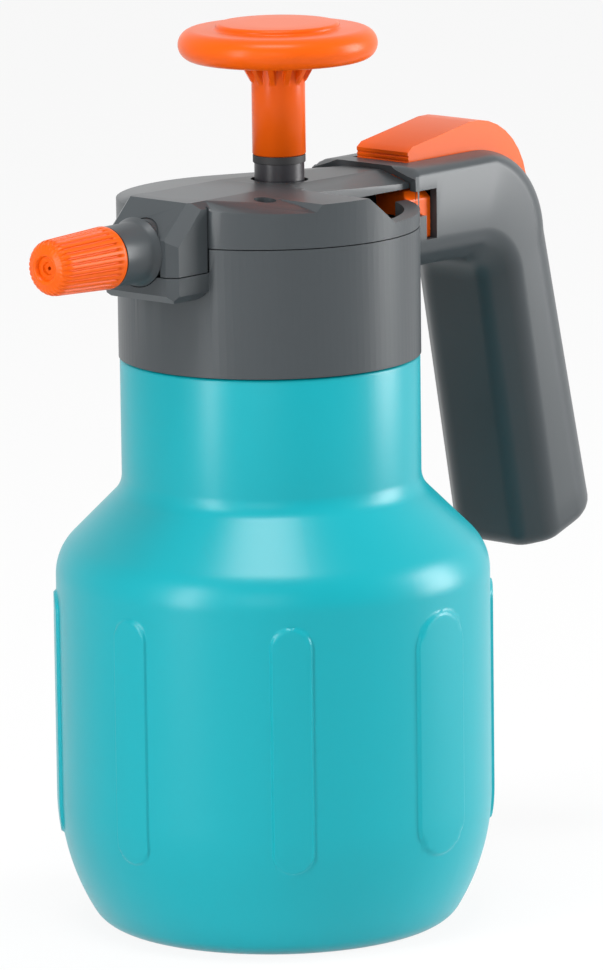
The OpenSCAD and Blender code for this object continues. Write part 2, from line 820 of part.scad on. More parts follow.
// Ring of points round the handle at step i
function section_ring(i, t) =
    let (p0 = handle_edge(i, 0), p1 = handle_edge(i, 1), u = (p1 - p0) / norm(p1 - p0),
         half = section_half(i, t),
         both = concat([for (h = half) [h[0], -h[1]]], [for (h = flip(half)) h]))
    [for (h = both) [p0[0] + u[0] * h[0], h[1], p0[1] + u[1] * h[0]]];

// Solid handle through the given steps, moved inwards by t
module handle_solid(t, steps) {
    rings = [for (i = steps) section_ring(i, t)];
    n = len(rings[0]);
    m = len(rings) - 1;
    points = [for (r = rings) each r];
    faces = concat(
        [for (i = [0 : m - 1]) for (k = [0 : n - 1])
            let (j = (k + 1) % n)
            each [[n * i + k, n * i + j, n * (i + 1) + j], [n * i + k, n * (i + 1) + j, n * (i + 1) + k]]],
        [for (k = [1 : n - 2]) [0, k + 1, k]],
        [for (k = [1 : n - 2]) [n * m, n * m + k, n * m + k + 1]]);
    polyhedron(points, faces);
}

// Side outline of the opening that the trigger works in
module trigger_slot_outline() {
    inner_r = outer_corner_r - trigger_depth - 2;
    polygon(concat([[trigger_front - slot_gap, arm_z1 - 2 * trigger_depth],
            [trigger_front - slot_gap, arm_z1 + span], [outer_c[0] + span, arm_z1 + span],
            [outer_c[0] + span, tail_z - slot_gap]],
        arc(outer_c, inner_r, 22, 90)));
}

// Half of the handle shell, s = -1 left and 1 right
module handle_half(s) {
    inner_half = handle_half_w - handle_wall;
    slot_half = trigger_half_w + side_gap;
    boss_out = inner_half + 0.8;
    color("#64686a")
        difference() {
            union() {
                difference() {
                    handle_solid(0, [for (i = [0 : handle_n]) i]);
                    handle_solid(handle_wall, concat([-0.2], [for (i = [1 : handle_n - 1]) i],
                        [handle_n - grip_steps * grip_end_t / grip_len]));
                    side_box(arm_x0 - cut, arm_x0 + cut, -inner_half + 0.6, inner_half - 0.6,
                        arm_z0 + handle_wall, arm_z1 - handle_wall - 1);
                    side_plate(-slot_half, slot_half)
                        trigger_slot_outline();
                }
                bar_y(pin_boss_r, s < 0 ? -pin_half : slot_half, s < 0 ? -slot_half : pin_half, pivot);
                for (p = screw_at)
                    bar_y(screw_boss_r, s < 0 ? -boss_out : 0, s < 0 ? 0 : boss_out, p);
            }
            bar_y(pivot_r + pin_fit, -pin_half - slide_fit, pin_half + slide_fit, pivot);
            for (p = screw_at)
                screw_cut(p);
            if (s < 0)
                side_box(lock_x - cut, lock_x + lock_len + slide_fit, -handle_half_w - cut, -inner_half + cut,
                    lock_z - slide_fit, lock_top + slide_fit);
            post(head_r + slide_fit, arm_z0 - cut, cover_bottom);
            side_box(0, span, s < 0 ? 0 : -span, s < 0 ? span : 0, 0, span);
        }
}

// Stepped hole of one handle screw, entered from the right side
module screw_cut(p) {
    bar_y(screw_r, -screw_tip - slide_fit, screw_seat + cut, p);
    bar_y(screw_head_r + slide_fit, screw_seat, handle_half_w + cut, p);
}

module handle_left() {
    handle_half(-1);
}

module handle_right() {
    handle_half(1);
}

module handle_screws() {
    top = screw_seat + screw_head_h;
    color("#8a8d90")
        for (p = screw_at)
            difference() {
                union() {
                    bar_y(screw_r, -screw_tip, screw_seat, p);
                    bar_y(screw_head_r, screw_seat, top, p);
                }
                bar_y(screw_recess_r, top - screw_recess, top + cut, p);
            }
}

// Side outline of the trigger, moved inwards by t
module trigger_outline(t) {
    hump = back_c + (trigger_back_r - t) * [cos(96), sin(96)];
    tail_top = back_c + (trigger_back_r - t) * [cos(back_turn), sin(back_turn)];
    tail_run = (tail_top[1] - tail_z - t) / cos(back_turn);
    low = arm_z1 - trigger_depth;
    corner = 1.4;
    front = trigger_front + t;
    front_top = arm_z1 + trigger_front_h - t;
    polygon(concat([[front, low - (t > 0 ? cut : 0)], [front - trigger_front_lean, front_top - corner],
            [front + corner, front_top]],
        arc(back_c, trigger_back_r - t, 96, back_turn),
        [tail_top + tail_run * [sin(back_turn), -cos(back_turn)]],
        [[outer_c[0] + outer_corner_r - trigger_depth + 1.6, tail_z + t]],
        arc(outer_c, outer_corner_r - trigger_depth - (t > 0 ? cut : 0), 26, 90, 6)));
}

module trigger_lever() {
    color("#ee7214")
        difference() {
            union() {
                difference() {
                    side_plate(-trigger_half_w, trigger_half_w)
                        trigger_outline(0);
                    side_plate(-trigger_half_w + trigger_wall, trigger_half_w - trigger_wall)
                        trigger_outline(trigger_wall);
                }
                bar_y(pivot_boss_r, -trigger_half_w, trigger_half_w, pivot);
                side_box(valve_x - push_half, valve_x + push_half, -trigger_half_w + trigger_wall / 2,
                    trigger_half_w - trigger_wall / 2, arm_z1 - trigger_depth, arm_z1 + trigger_front_h);
            }
            for (k = [1 : groove_count])
                bar_y(groove_r, -trigger_half_w - cut, trigger_half_w + cut,
                    [trigger_front - trigger_front_lean, arm_z1 + k * groove_step]);
            bar_y(pivot_r + pin_fit, -trigger_half_w - cut, trigger_half_w + cut, pivot);
        }
}

module trigger_pin() {
    color("#b9bcbf")
        bar_y(pivot_r, -pin_half, pin_half, pivot);
}

module lock_slide() {
    outer = handle_half_w + lock_proud;
    rest = pocket_floor_z + slide_fit;
    end_x = lock_x + lock_len;
    color("#ee6a10")
        difference() {
            union() {
                side_plate(-outer, -outer + lock_tab_t)
                    polygon([[lock_x, rest], [lock_x, lock_top - lock_corner], [lock_x + lock_corner, lock_top],
                        [end_x - lock_corner, lock_top], [end_x, lock_top - lock_corner], [end_x, lock_z],
                        [end_x - lock_leg, lock_z], [end_x - lock_leg, rest]]);
                side_plate(-outer + lock_tab_t / 2, -lock_in)
                    polygon([[lock_x, rest], [lock_x, lock_top - lock_corner], [lock_x + lock_corner, lock_top],
                        [lock_x + lock_bar_w, lock_top], [lock_x + lock_bar_w, rest]]);
            }
            translate([lock_x, -outer, lock_top - lock_slope])
                rotate([45, 0, 0])
                    side_box(-cut, lock_len + cut, -span, span, 0, span);
        }
}

module valve_body() {
    spigot = hose_bore_r - pin_fit;
    color("#e4e4e0")
        difference() {
            union() {
                post(valve_r, valve_bottom, valve_top, [valve_x, 0]);
                for (y = [-hose_y, hose_y])
                    bar_x(spigot, valve_x - valve_r - hose_joint, valve_x, hose_z, y);
            }
            post(valve_bore_r, valve_bottom + valve_floor, valve_top + cut, [valve_x, 0]);
            for (y = [-hose_y, hose_y])
                bar_x(spigot / 2, valve_x - valve_r - hose_joint - cut, valve_x, hose_z, y);
        }
}

module valve_cap() {
    color("#3a3d40")
        ring(valve_r, stem_r + slide_fit, valve_top, valve_top + valve_cap_t, [valve_x, 0]);
}

module valve_stem() {
    color("#c9ccd0")
        union() {
            post(stem_r, stem_low, stem_top, [valve_x, 0]);
            post(valve_bore_r - 0.4, stem_low, stem_low + stem_disc_t, [valve_x, 0]);
            post(stem_head_r, stem_top - stem_disc_t, stem_top, [valve_x, 0]);
        }
}

module stem_seal() {
    z0 = stem_low + stem_disc_t;
    color("#1c1c1e")
        ring(valve_bore_r - slide_fit, stem_r, z0, z0 + stem_disc_t, [valve_x, 0]);
}

module valve_spring() {
    z0 = valve_top + valve_cap_t;
    color("#b9bcbf")
        coil(stem_r + 1.1, 0.35, z0, stem_top - stem_disc_t - z0, 5, [valve_x, 0]);
}

module riser_elbow() {
    spigot = hose_bore_r - pin_fit;
    color("#e4e4e0")
        difference() {
            union() {
                post(elbow_r, deck_top, hose_z + hose_r, [dip_x, 0]);
                bar_x(spigot, dip_x, dip_x + elbow_r + hose_joint, hose_z, -hose_y);
            }
            post(dip_r + pin_fit, deck_top - cut, tube_top, [dip_x, 0]);
            post(dip_bore_r, deck_top, hose_z + spigot, [dip_x, 0]);
            bar_x(spigot / 2, dip_x, dip_x + elbow_r + hose_joint + cut, hose_z, -hose_y);
        }
}

// Stations of the nozzle hose as it passes round the pump: place in plan and heading
hose_x0 = hose_start + hose_joint;
hose_x1 = valve_x - valve_r - hose_joint;
// Places along an S-bend that starts at x and moves sideways by dy
function s_bend(x, y, dy) =
    let (turn = acos(1 - abs(dy) / (2 * bend_r)), side = sign(dy),
         turns = [for (i = [0 : arc_steps]) turn * i / arc_steps])
    concat(
        [for (a = turns) [x + bend_r * sin(a), y + side * bend_r * (1 - cos(a)), side * a]],
        [for (a = flip(turns)) if (a < turn)
            [x + 2 * bend_r * sin(turn) - bend_r * sin(a), y + dy - side * bend_r * (1 - cos(a)), side * a]]);
hose_path = concat([[hose_start, 0, 0]], s_bend(hose_x0, 0, side_hose_y),
    s_bend(hose_x1 - rear_run, side_hose_y, -back_turn_y), [[hose_x1 + hose_joint, hose_y, 0]]);

module valve_hose() {
    color("#d8dcd8")
        difference() {
            bar_x(hose_r, dip_x + elbow_r, valve_x - valve_r, hose_z, -hose_y);
            bar_x(hose_bore_r, dip_x, valve_x, hose_z, -hose_y);
        }
}

module nozzle_hose() {
    n = 16;
    last = len(hose_path) - 1;
    points = [for (s = hose_path) for (r = [hose_r, hose_bore_r]) for (k = [0 : n - 1])
        let (b = 360 * k / n)
        [s[0] - r * sin(s[2]) * cos(b), s[1] + r * cos(s[2]) * cos(b), hose_z + r * sin(b)]];
    skins = [for (i = [0 : last - 1]) for (k = [0 : n - 1])
        let (j = (k + 1) % n, o = 2 * n * i, q = o + 2 * n)
        each [[o + k, q + j, o + j], [o + k, q + k, q + j],
              [o + n + j, q + n + j, o + n + k], [q + n + j, q + n + k, o + n + k]]];
    e = 2 * n * last;
    ends = [for (k = [0 : n - 1])
        let (j = (k + 1) % n)
        each [[k, j, n + j], [k, n + j, n + k],
              [e + n + j, e + j, e + k], [e + n + k, e + n + j, e + k]]];
    color("#d8dcd8")
        polyhedron(points, concat(skins, ends));
}

module dip_tube() {
    color("#dfe3e0")
        ring(dip_r, dip_bore_r, floor_z + strainer_gap + slot_z, tube_top, [dip_x, 0]);
}

module strainer() {
    z0 = floor_z + strainer_gap;
    r = dip_r + 2.4;
    wall = 1.4;
    slot_w = 1.2;
    slot_h = 4;
    color("#3a3d40")
        difference() {
            union() {
                ring(r, dip_r + pin_fit, z0 + sleeve_z, z0 + sleeve_z + sleeve_h, [dip_x, 0]);
                ring(r, r - wall, z0, z0 + sleeve_z, [dip_x, 0]);
                post(r, z0, z0 + wall, [dip_x, 0]);
            }
            for (a = [0 : 45 : 135])
                translate([dip_x, 0, z0 + slot_z])
                    rotate([0, 0, a])
                        translate([-r - cut, -slot_w / 2, 0])
                            cube([2 * (r + cut), slot_w, slot_h]);
        }
}

module nozzle_barrel() {
    color("#565b5d")
        difference() {
            union() {
                bar_x(barrel_r, cap_back + seam_gap, -hood_front + flange_t, nozzle_z);
                bar_x(flange_r, -hood_front + flange_t, -hood_front + 3 * flange_t, nozzle_z);
                bar_x(stub_r, -hood_front + 3 * flange_t, nozzle_inlet_x + inlet_r / 2, nozzle_z);
                bar_x(spigot_r, cap_back - spigot_len, cap_back + cut, nozzle_z);
                post(inlet_r, hose_z - inlet_r, nozzle_z, [nozzle_inlet_x, 0]);
                bar_x(hose_bore_r - pin_fit, nozzle_inlet_x, hose_x0, hose_z);
                translate([-hood_front - pin_fit, 0, nozzle_z])
                    rotate([0, -90, 0])
                        cylinder(r1 = flare_r, r2 = barrel_r, h = flare_len);
            }
            bar_x(spigot_bore, cap_back - spigot_len - cut, nozzle_inlet_x, nozzle_z);
            post(spigot_bore, hose_z, nozzle_z, [nozzle_inlet_x, 0]);
            bar_x(spigot_bore / 2, nozzle_inlet_x, hose_x0 + cut, hose_z);
            round_ring(oring_r + pin_fit);
        }
}

module nozzle_core() {
    tip = cap_back - spigot_len;
    core_len = 6;
    head_len = 2;
    head_r = 3.4;
    color("#e4e4e0")
        difference() {
            union() {
                bar_x(spigot_bore - pin_fit, tip, tip + core_len, nozzle_z);
                bar_x(head_r, tip - head_len, tip, nozzle_z);
            }
            bar_x(spray_r, tip - head_len - cut, tip + core_len + cut, nozzle_z);
        }
}

// Ring of round section in the nozzle spigot's groove
module round_ring(r) {
    translate([oring_x, 0, nozzle_z])
        rotate([0, 90, 0])
            rotate_extrude()
                translate([spigot_r, 0])
                    circle(r = r, $fn = 32);
}

module nozzle_oring() {
    color("#1c1c1e")
        round_ring(oring_r);
}

// Spray cap, drawn along its own axis from the back (0) to the tip
module nozzle_cap() {
    shoulder = 3.4;
    band = 2.3;
    rib_w = 0.9;
    rib_r = 0.45;
    cavity = spigot_len + 5;
    barrel_end = cap_len - shoulder;
    slope = atan2(barrel_r - cap_shoulder_r, barrel_end);
    rim = [cap_front_r, cap_len];
    bend = arc([cap_shoulder_r - shoulder, barrel_end], shoulder, 0, 60, 5);
    color("#ea6410")
        translate([cap_back, 0, nozzle_z])
            rotate([0, -90, 0])
                difference() {
                    union() {
                        rotate_extrude()
                            polygon(concat([[0, 0], [barrel_r, 0]], bend, [rim, [0, cap_len]]));
                        for (k = [0 : cap_ribs - 1])
                            rotate([0, 0, 360 * k / cap_ribs])
                                translate([barrel_r, 0, 0])
                                    rotate([0, -slope, 0])
                                        translate([-1, -rib_w / 2, band])
                                            cube([1 + rib_r, rib_w, barrel_end - band]);
                    }
                    translate([0, 0, -cut])
                        cylinder(r = cap_bore_r, h = cavity + cut);
                    translate([0, 0, cavity - cut])
                        cylinder(r = spray_r, h = cap_len, $fn = 24);
                    translate([0, 0, cap_len - 1.2])
                        cylinder(r = cap_front_r - 1.2, h = 1.2 + cut);
                    translate([0, 0, cap_len - 1.2 - 0.8])
                        cylinder(r = 1.6, h = 2);
                }
}

module pump_knob() {
    rim_c = [knob_r - knob_t / 2, knob_mid_z];
    disc_z = knob_mid_z + knob_t / 2 + knob_disc_h;
    color("#ec6410")
        translate([pump_x, 0, 0])
            difference() {
                union() {
                    rotate_extrude($fn = 96)
                        polygon(concat([[0, knob_under]], arc(rim_c, knob_t / 2, -90, 90, 14),
                            [[knob_disc_r + 1.6, disc_z - knob_disc_h], [knob_disc_r, disc_z], [0, disc_z]]));
                    post(shaft_r, shaft_end, knob_under + cut);
                    for (k = [0 : knob_ribs - 1])
                        rotate([0, 0, 360 * k / knob_ribs])
                            side_plate(-0.7, 0.7)
                                polygon([[shaft_r - 1, knob_under - rib_h], [shaft_r + 0.3, knob_under - rib_h],
                                    [shaft_r + rib_reach, knob_under + 0.5], [shaft_r - 1, knob_under + 0.5]]);
                }
                post(shaft_bore_r, shaft_end - cut, knob_under - 3);
            }
}

module plunger_rod() {
    color("#28262b")
        union() {
            post(rod_r, piston_top, shaft_end, [pump_x, 0]);
            post(shaft_bore_r - pin_fit, shaft_end, shaft_end + 16, [pump_x, 0]);
            post(pin_r, piston_top - piston_h - bead_h, piston_top, [pump_x, 0]);
        }
}

module rod_ring() {
    color("#1c1c1e")
        ring(shaft_r - 0.1, rod_r, shaft_end - bead_h, shaft_end, [pump_x, 0]);
}

module piston() {
    r = cylinder_bore_r - slide_fit;
    groove = 2.2;
    color("#3a3d40")
        difference() {
            ring(r, pin_r, piston_top - piston_h, piston_top, [pump_x, 0]);
            ring(r + cut, r - groove, piston_top - piston_h / 2 - piston_seal_t / 2,
                piston_top - piston_h / 2 + piston_seal_t / 2, [pump_x, 0]);
        }
}

module piston_seal() {
    r = cylinder_bore_r - slide_fit;
    color("#1c1c1e")
        ring(r + 0.15, r - 2.2, piston_top - piston_h / 2 - piston_seal_t / 2,
            piston_top - piston_h / 2 + piston_seal_t / 2, [pump_x, 0]);
}

module pump_cylinder() {
    port_r = 1.2;
    color("#c8ccca")
        difference() {
            union() {
                post(cylinder_r, cylinder_bottom, cylinder_top, [pump_x, 0]);
                post(boss_r, boss_top + gasket_t, cylinder_top, [pump_x, 0]);
            }
            post(cylinder_bore_r, cylinder_bottom + cylinder_end_t, cylinder_top + cut, [pump_x, 0]);
            post(1.7, cylinder_bottom - cut, cylinder_bottom + cylinder_end_t + cut, [pump_x, 0]);
            for (a = [0 : 90 : 270])
                post(port_r, cylinder_bottom - cut, cylinder_bottom + cylinder_end_t + cut,
                    [pump_x + 4 * cos(a), 4 * sin(a)]);
        }
}

module cylinder_gasket() {
    color("#1c1c1e")
        ring(boss_r, cylinder_r + slide_fit, boss_top, boss_top + gasket_t, [pump_x, 0]);
}

module pump_guide() {
    color("#3a3d40")
        union() {
            ring(boss_r, guide_bore_r, cylinder_top, cylinder_top + guide_h, [pump_x, 0]);
            ring(cylinder_bore_r - pin_fit, guide_bore_r, cylinder_top - 4, cylinder_top, [pump_x, 0]);
        }
}

module check_valve() {
    cap_r = 6.2;
    color("#1c1c1e")
        union() {
            post(cap_r, cylinder_bottom - 1.6, cylinder_bottom, [pump_x, 0]);
            post(1.65, cylinder_bottom - 0.5, cylinder_bottom + cylinder_end_t, [pump_x, 0]);
            post(2.3, cylinder_bottom + cylinder_end_t, cylinder_bottom + cylinder_end_t + 1.6, [pump_x, 0]);
        }
}

module relief_pin() {
    color("#c9ccd0")
        union() {
            post(relief_pin_r, deck_bottom - 2 * relief_disc_t, relief_top, relief_at);
            post(relief_head_r, relief_top - relief_head_h, relief_top, relief_at);
            post(relief_disc_r, deck_bottom - 2 * relief_disc_t, deck_bottom - relief_disc_t, relief_at);
        }
}

module relief_seal() {
    color("#1c1c1e")
        ring(relief_disc_r, relief_pin_r, deck_bottom - relief_disc_t, deck_bottom - pin_fit, relief_at);
}

module relief_spring() {
    wire_r = 0.3;
    color("#b9bcbf")
        coil(relief_pin_r + 0.8, wire_r, deck_top, relief_top - relief_head_h - deck_top, 7, relief_at);
}

bottle();
neck_seal();
head_collar();
head_cover();
handle_left();
handle_right();
handle_screws();
trigger_lever();
trigger_pin();
lock_slide();
valve_body();
valve_cap();
valve_stem();
stem_seal();
valve_spring();
riser_elbow();
valve_hose();
nozzle_hose();
dip_tube();
strainer();
nozzle_barrel();
nozzle_core();
nozzle_oring();
nozzle_cap();
pump_knob();
plunger_rod();
rod_ring();
piston();
piston_seal();
pump_cylinder();
cylinder_gasket();
pump_guide();
check_valve();
relief_pin();
relief_seal();
relief_spring();
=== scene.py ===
"""Looks of a hand pump pressure sprayer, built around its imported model.

Sizes here are millimetres until a mesh is filled, and MM turns them into metres.
+Z is up, the nozzle points along -X, the handle stands out along +X, and the
origin is under the middle of the bottle.
"""

import json
import math

import bmesh
import bpy
import numpy as np
from mathutils import Matrix, Vector

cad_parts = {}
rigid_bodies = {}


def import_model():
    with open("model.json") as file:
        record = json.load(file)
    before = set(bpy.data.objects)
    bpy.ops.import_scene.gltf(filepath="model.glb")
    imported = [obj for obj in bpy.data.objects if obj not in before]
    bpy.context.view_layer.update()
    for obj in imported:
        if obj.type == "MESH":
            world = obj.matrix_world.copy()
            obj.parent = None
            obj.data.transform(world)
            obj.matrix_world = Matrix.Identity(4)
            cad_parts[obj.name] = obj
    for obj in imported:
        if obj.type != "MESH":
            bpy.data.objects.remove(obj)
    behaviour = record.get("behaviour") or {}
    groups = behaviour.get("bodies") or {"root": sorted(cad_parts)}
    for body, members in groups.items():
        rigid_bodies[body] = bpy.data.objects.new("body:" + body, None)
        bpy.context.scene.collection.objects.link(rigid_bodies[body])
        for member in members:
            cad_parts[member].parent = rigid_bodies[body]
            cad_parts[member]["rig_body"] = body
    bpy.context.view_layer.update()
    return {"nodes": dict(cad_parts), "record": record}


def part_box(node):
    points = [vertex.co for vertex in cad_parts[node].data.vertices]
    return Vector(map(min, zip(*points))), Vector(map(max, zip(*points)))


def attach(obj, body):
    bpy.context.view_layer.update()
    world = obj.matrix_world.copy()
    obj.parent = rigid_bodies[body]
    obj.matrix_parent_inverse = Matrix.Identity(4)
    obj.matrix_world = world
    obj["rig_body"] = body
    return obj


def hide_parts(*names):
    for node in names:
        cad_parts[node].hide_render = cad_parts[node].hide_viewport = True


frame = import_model()
MM = 0.001

# Meshes: distance in metres, fold in radians, shading angles in degrees
MERGE_DISTANCE = 2e-6
FLAT_FOLD = math.radians(0.05)
DRESSED_SHARP = 30
MOULDED_SHARP = 40
TURNED_SHARP = 50
ROUNDING_SEGMENTS = 3
DRILL_SIDES = 40


def low(node):
    """Lowest corner of a CAD node, in millimetres."""
    return np.array(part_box(node)[0]) / MM


def high(node):
    """Highest corner of a CAD node, in millimetres."""
    return np.array(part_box(node)[1]) / MM


# Heights shared by the pieces
SEAM = 0.3
NECK_TOP = low("head_collar")[2] - SEAM
MOUTH_TOP = high("bottle")[2]
COVER_BOTTOM = high("head_collar")[2] + SEAM

# Bottle
BODY_R = 62.0
FOOT_R = 45.0
FOOT_CORNER_R = 9.0
FOOT_RECESS = 3.0
FOOT_RING_W = 8.0
BASE_RISE = 38.0
BODY_TOP = 101.4
SHOULDER_R = 15.2
SHOULDER_SLOPE = math.radians(45)
NECK_R = 42.7
NECK_FILLET_R = 8.3
NECK_LIP_R = 1.0
MOUTH_R = 38.0
MOUTH_WALL = 2.6
BOTTLE_WALL = 2.2
SIDE_STEPS = 14
LINING_STEPS = 6
LIP_STEPS = 4

# Raised pads on the bottle; the rim's columns lie at shares of the sloped edge
PAD_COUNT = 8
PAD_W = 12.0
PAD_EDGE = 0.65
WIDE_PAD_W = 20.6
WIDE_PAD_EDGE = 1.0
PAD_H = 71.0
PAD_MID = 62.0
PAD_PROUD = 0.8
PAD_TURN = math.radians(1.4)
PAD_ROW = 0.5
PAD_RIM_SHARES = (-0.3, 0, 0.2, 0.4, 0.6, 0.8, 1, 1.3)
PAD_FACE_INSET = 1.5
PAD_COLUMNS = 15
GAP_COLUMNS = 16
OTHER_SIDE = 99
ANGLE_DIGITS = 5

# Screw thread on the bottle's mouth; its ends run out over a share of a turn
THREAD_PITCH = 5.0
THREAD_TURNS = 1.4
THREAD_DEPTH = 1.3
THREAD_LOW = 3.0
THREAD_ROOT_W = 1.8
THREAD_CREST_W = 1.0
THREAD_SINK = 0.2
THREAD_RUN_OUT = 0.08
THREAD_STEPS = 90

# Handle, with rows of faces along it and columns across it
ARM_X0 = low("handle_left")[0]
ARM_Z0 = COVER_BOTTOM - 15.4
ARM_Z1 = COVER_BOTTOM + 10.5
HANDLE_HALF_W = 17.0
GRIP_FACE_HALF_W = 10.4
FACE_CHAMFER_SHARE = 0.85
FACE_CORNER = 2.4
ARM_EDGE, GRIP_EDGE = 1.2, 12.0
ARM_FLAT_HALF_W, GRIP_FLAT_HALF_W = 10.15, 5.0
HANDLE_WALL = 2.4
HANDLE_RIM = 0.4
HANDLE_RIM_FOLD = 50
GRIP_X = 81.0
GRIP_LEAN = math.radians(10.6)
BACK_LEAN = math.radians(13.6)
INNER_CORNER_R = 13.0
OUTER_CORNER_R = 26.6
OUTER_CORNER_X = 78.0
GRIP_LEN = 90.0
GRIP_END_RISE = 9.3
GRIP_END_R = 3.0
GRIP_END_TURNS = np.radians([15, 30, 45, 60, 75, 90])
GRIP_END_SIZES = (0.6, 0.3, 0.0)
ARM_ROWS = (14, 10)
BEND_ROWS = (22, 5)
GRIP_ROWS = 14
SHARE_MARGIN = 1e-6
FLAT_COLUMNS, FLAT_REACH = 4, 0.7
CORNER_COLUMNS = 9
EDGE_COLUMNS = 14
SLOT_COLUMNS = 9

# Front of the handle's arm, held under a ramp that starts at the cover's spine
ARM_RAMP = 0.55
SPINE_END_Z = COVER_BOTTOM + 11.7
SPINE_HALF_W = 6.3
SPINE_SLOPE = 0.31

# Trigger slot in the handle
SLOT_HALF_W = 10.2
SLOT_FRONT = 48.0
SLOT_END_DROP = 19.4

# Lock opening: room round the block, how far its floor lies under the cover, and its leg
LOCK_CLEAR = 0.12
LOCK_REST = 1.2
LOCK_LEG = 4.2
LOCK_LAP = 1.0

# Cutters pass the handle's wall by this much, outside and inside
CUT_PAST = 2.0
CUT_INSIDE = 1.0

# Handle screws
SCREW_HOLE_R = 3.15
SCREW_SEAT = 8.0
ARM_SCREW = (71.5, 191.93)
GRIP_SCREW_SHARES = (0.13, 0.47, 0.82)

# Palm knob and its shaft
PUMP_X = 5.0
KNOB_R = 28.3
KNOB_T = 8.8
KNOB_TOP = high("pump_knob")[2]
KNOB_RIM_STEPS = 22
KNOB_SIDES = 240
KNOB_DISC_R = 17.2
KNOB_DISC_H = 1.6
KNOB_DISC_SIDE = 0.4
KNOB_DISC_FOOT_R, KNOB_DISC_FOOT_STEPS = 0.8, 4
KNOB_DISC_EDGE_R, KNOB_DISC_EDGE_STEPS = 1.2, 5
KNOB_BORE_STOP = 3.0
SHAFT_R = 7.6
SHAFT_BORE_R = 5.2
SHAFT_END = low("pump_knob")[2]
SHAFT_CHAMFER = 0.4

# Ribs under the knob; share and flank set where a rib starts round the shaft and how steep it is
KNOB_RIBS = 12
RIB_H = 6.5
RIB_REACH = 3.9
RIB_START = 0.25
RIB_ROWS = 12
RIB_LEADS = (1.2, 0.5)
RIB_CLEAR = 2.5
RIB_SHARE, RIB_FLANK = 0.05, 0.6

# Spray cap
CAP_BACK = high("nozzle_cap")[0]
CAP_TIP = low("nozzle_cap")[0]
NOZZLE_Z = (low("nozzle_cap")[2] + high("nozzle_cap")[2]) / 2
CAP_R = 8.85
CAP_CHAMFER = 0.4
CAP_BAND = 2.3
CAP_BAND_ROWS = (-1.1, -0.1, 0.35)
CAP_SIDE_START, CAP_SIDE_ROWS = 1.5, 16
CAP_SHOULDER_R = 7.9
CAP_SHOULDER = 3.4
CAP_CURVE, CAP_CURVE_STEPS = (6, 62), 10
CAP_BORE_R = 6.8
CAP_BORE_DEPTH = 17.0

# Spray cap's front: a rim, a dish inside it and a seat round the spray hole
CAP_FRONT_R = 4.8
CAP_RIM_W = 1.2
CAP_RIM_EASE = 0.3
CAP_RIM_DROP = 0.25
CAP_DISH = 1.3
CAP_SEAT_R = 1.9
CAP_SEAT_LEAN = 0.3
CAP_SEAT = 1.9
SPRAY_R = 0.6

# Grip ribs of the spray cap, with the grooves between them
CAP_RIBS = 30
CAP_RIB_STEPS = 12
CAP_RIB_SHARE, CAP_RIB_FLANK = 0.75, 0.9
CAP_GROOVE = 0.55
CAP_GROOVE_START = 0.4
CAP_GROOVE_FADE = 0.75

# Rounding of the moulded edges on the pieces taken from the CAD
FINE_EDGE = 0.4
COVER_EDGE = 0.45
RING_EDGE = 0.6
ORANGE_EDGE = 1.0
TRIGGER_FRONT = 1.5
TRIGGER_FOLD = 40
LOCK_FOLD = 35


def arc(centre, radius, start, end, steps):
    """Points centre + radius (cos a, sin a), with a from start to end in degrees."""
    a = np.radians(np.linspace(start, end, steps + 1))
    return np.stack([centre[0] + radius * np.cos(a), centre[1] + radius * np.sin(a)], 1)


def ease(t):
    """Smooth step 3t^2 - 2t^3, with t held between 0 and 1."""
    t = np.clip(t, 0, 1)
    return t * t * (3 - 2 * t)


def spaced(points, step):
    """Polyline with each straight stretch cut into equal parts no longer than step."""
    cuts = [
        np.linspace(a, b, max(2, int(np.hypot(*(b - a)) / step) + 2))[:-1]
        for a, b in zip(points[:-1], points[1:])
    ]
    return np.concatenate(cuts + [points[-1:]])


def patch(points, wrap):
    """A grid of points, rows by columns by xyz, as vertices and quads.

    wrap joins the last column to the first.
    """
    rows, cols = points.shape[:2]
    r = np.arange(rows - 1)[:, None] * cols
    c = np.arange(cols if wrap else cols - 1)[None, :]
    n = (c + 1) % cols
    quads = np.stack([r + c, r + n, r + cols + n, r + cols + c], -1)
    return points.reshape(-1, 3), quads.reshape(-1, 4)


def turned(radius, height, angle):
    """Grid of points (radius cos angle, radius sin angle, height) about the Z axis."""
    return np.stack([radius * np.cos(angle), radius * np.sin(angle), height + 0 * angle], -1)


def merged(mesh, outward=True, flat_angle=None):
    """Merges doubles, joins faces that fold less than flat_angle and turns faces outwards."""
    bm = bmesh.new()
    bm.from_mesh(mesh)
    bmesh.ops.remove_doubles(bm, verts=bm.verts, dist=MERGE_DISTANCE)
    if flat_angle:
        bmesh.ops.dissolve_limit(bm, angle_limit=flat_angle, verts=bm.verts, edges=bm.edges)
    if outward:
        bmesh.ops.recalc_face_normals(bm, faces=bm.faces)
    bm.to_mesh(mesh)
    bm.free()


def shown(name, mesh, nodes, finish, sharp):
    """Puts a mesh in the scene as a piece that stands for CAD nodes.

    It is smooth up to the sharp angle, in degrees.
    """
    mesh.polygons.foreach_set("use_smooth", np.ones(len(mesh.polygons), bool))
    mesh.set_sharp_from_angle(angle=math.radians(sharp))
    mesh.materials.clear()
    mesh.materials.append(finish)
    piece = bpy.data.objects.new(name, mesh)
    bpy.context.scene.collection.objects.link(piece)
    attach(piece, frame["nodes"][nodes[0]]["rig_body"])
    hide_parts(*nodes)
    return piece


def made(name, patches, nodes, finish, sharp, outward=True):
    """New piece from grid patches in millimetres."""
    starts = np.cumsum([0] + [len(points) for points, _ in patches])
    points = np.concatenate([points for points, _ in patches]) * MM
    quads = np.concatenate([quads + start for (_, quads), start in zip(patches, starts)])
    mesh = bpy.data.meshes.new(name)
    mesh.from_pydata(points.tolist(), [], quads.tolist())
    merged(mesh, outward)
    return shown(name, mesh, nodes, finish, sharp)


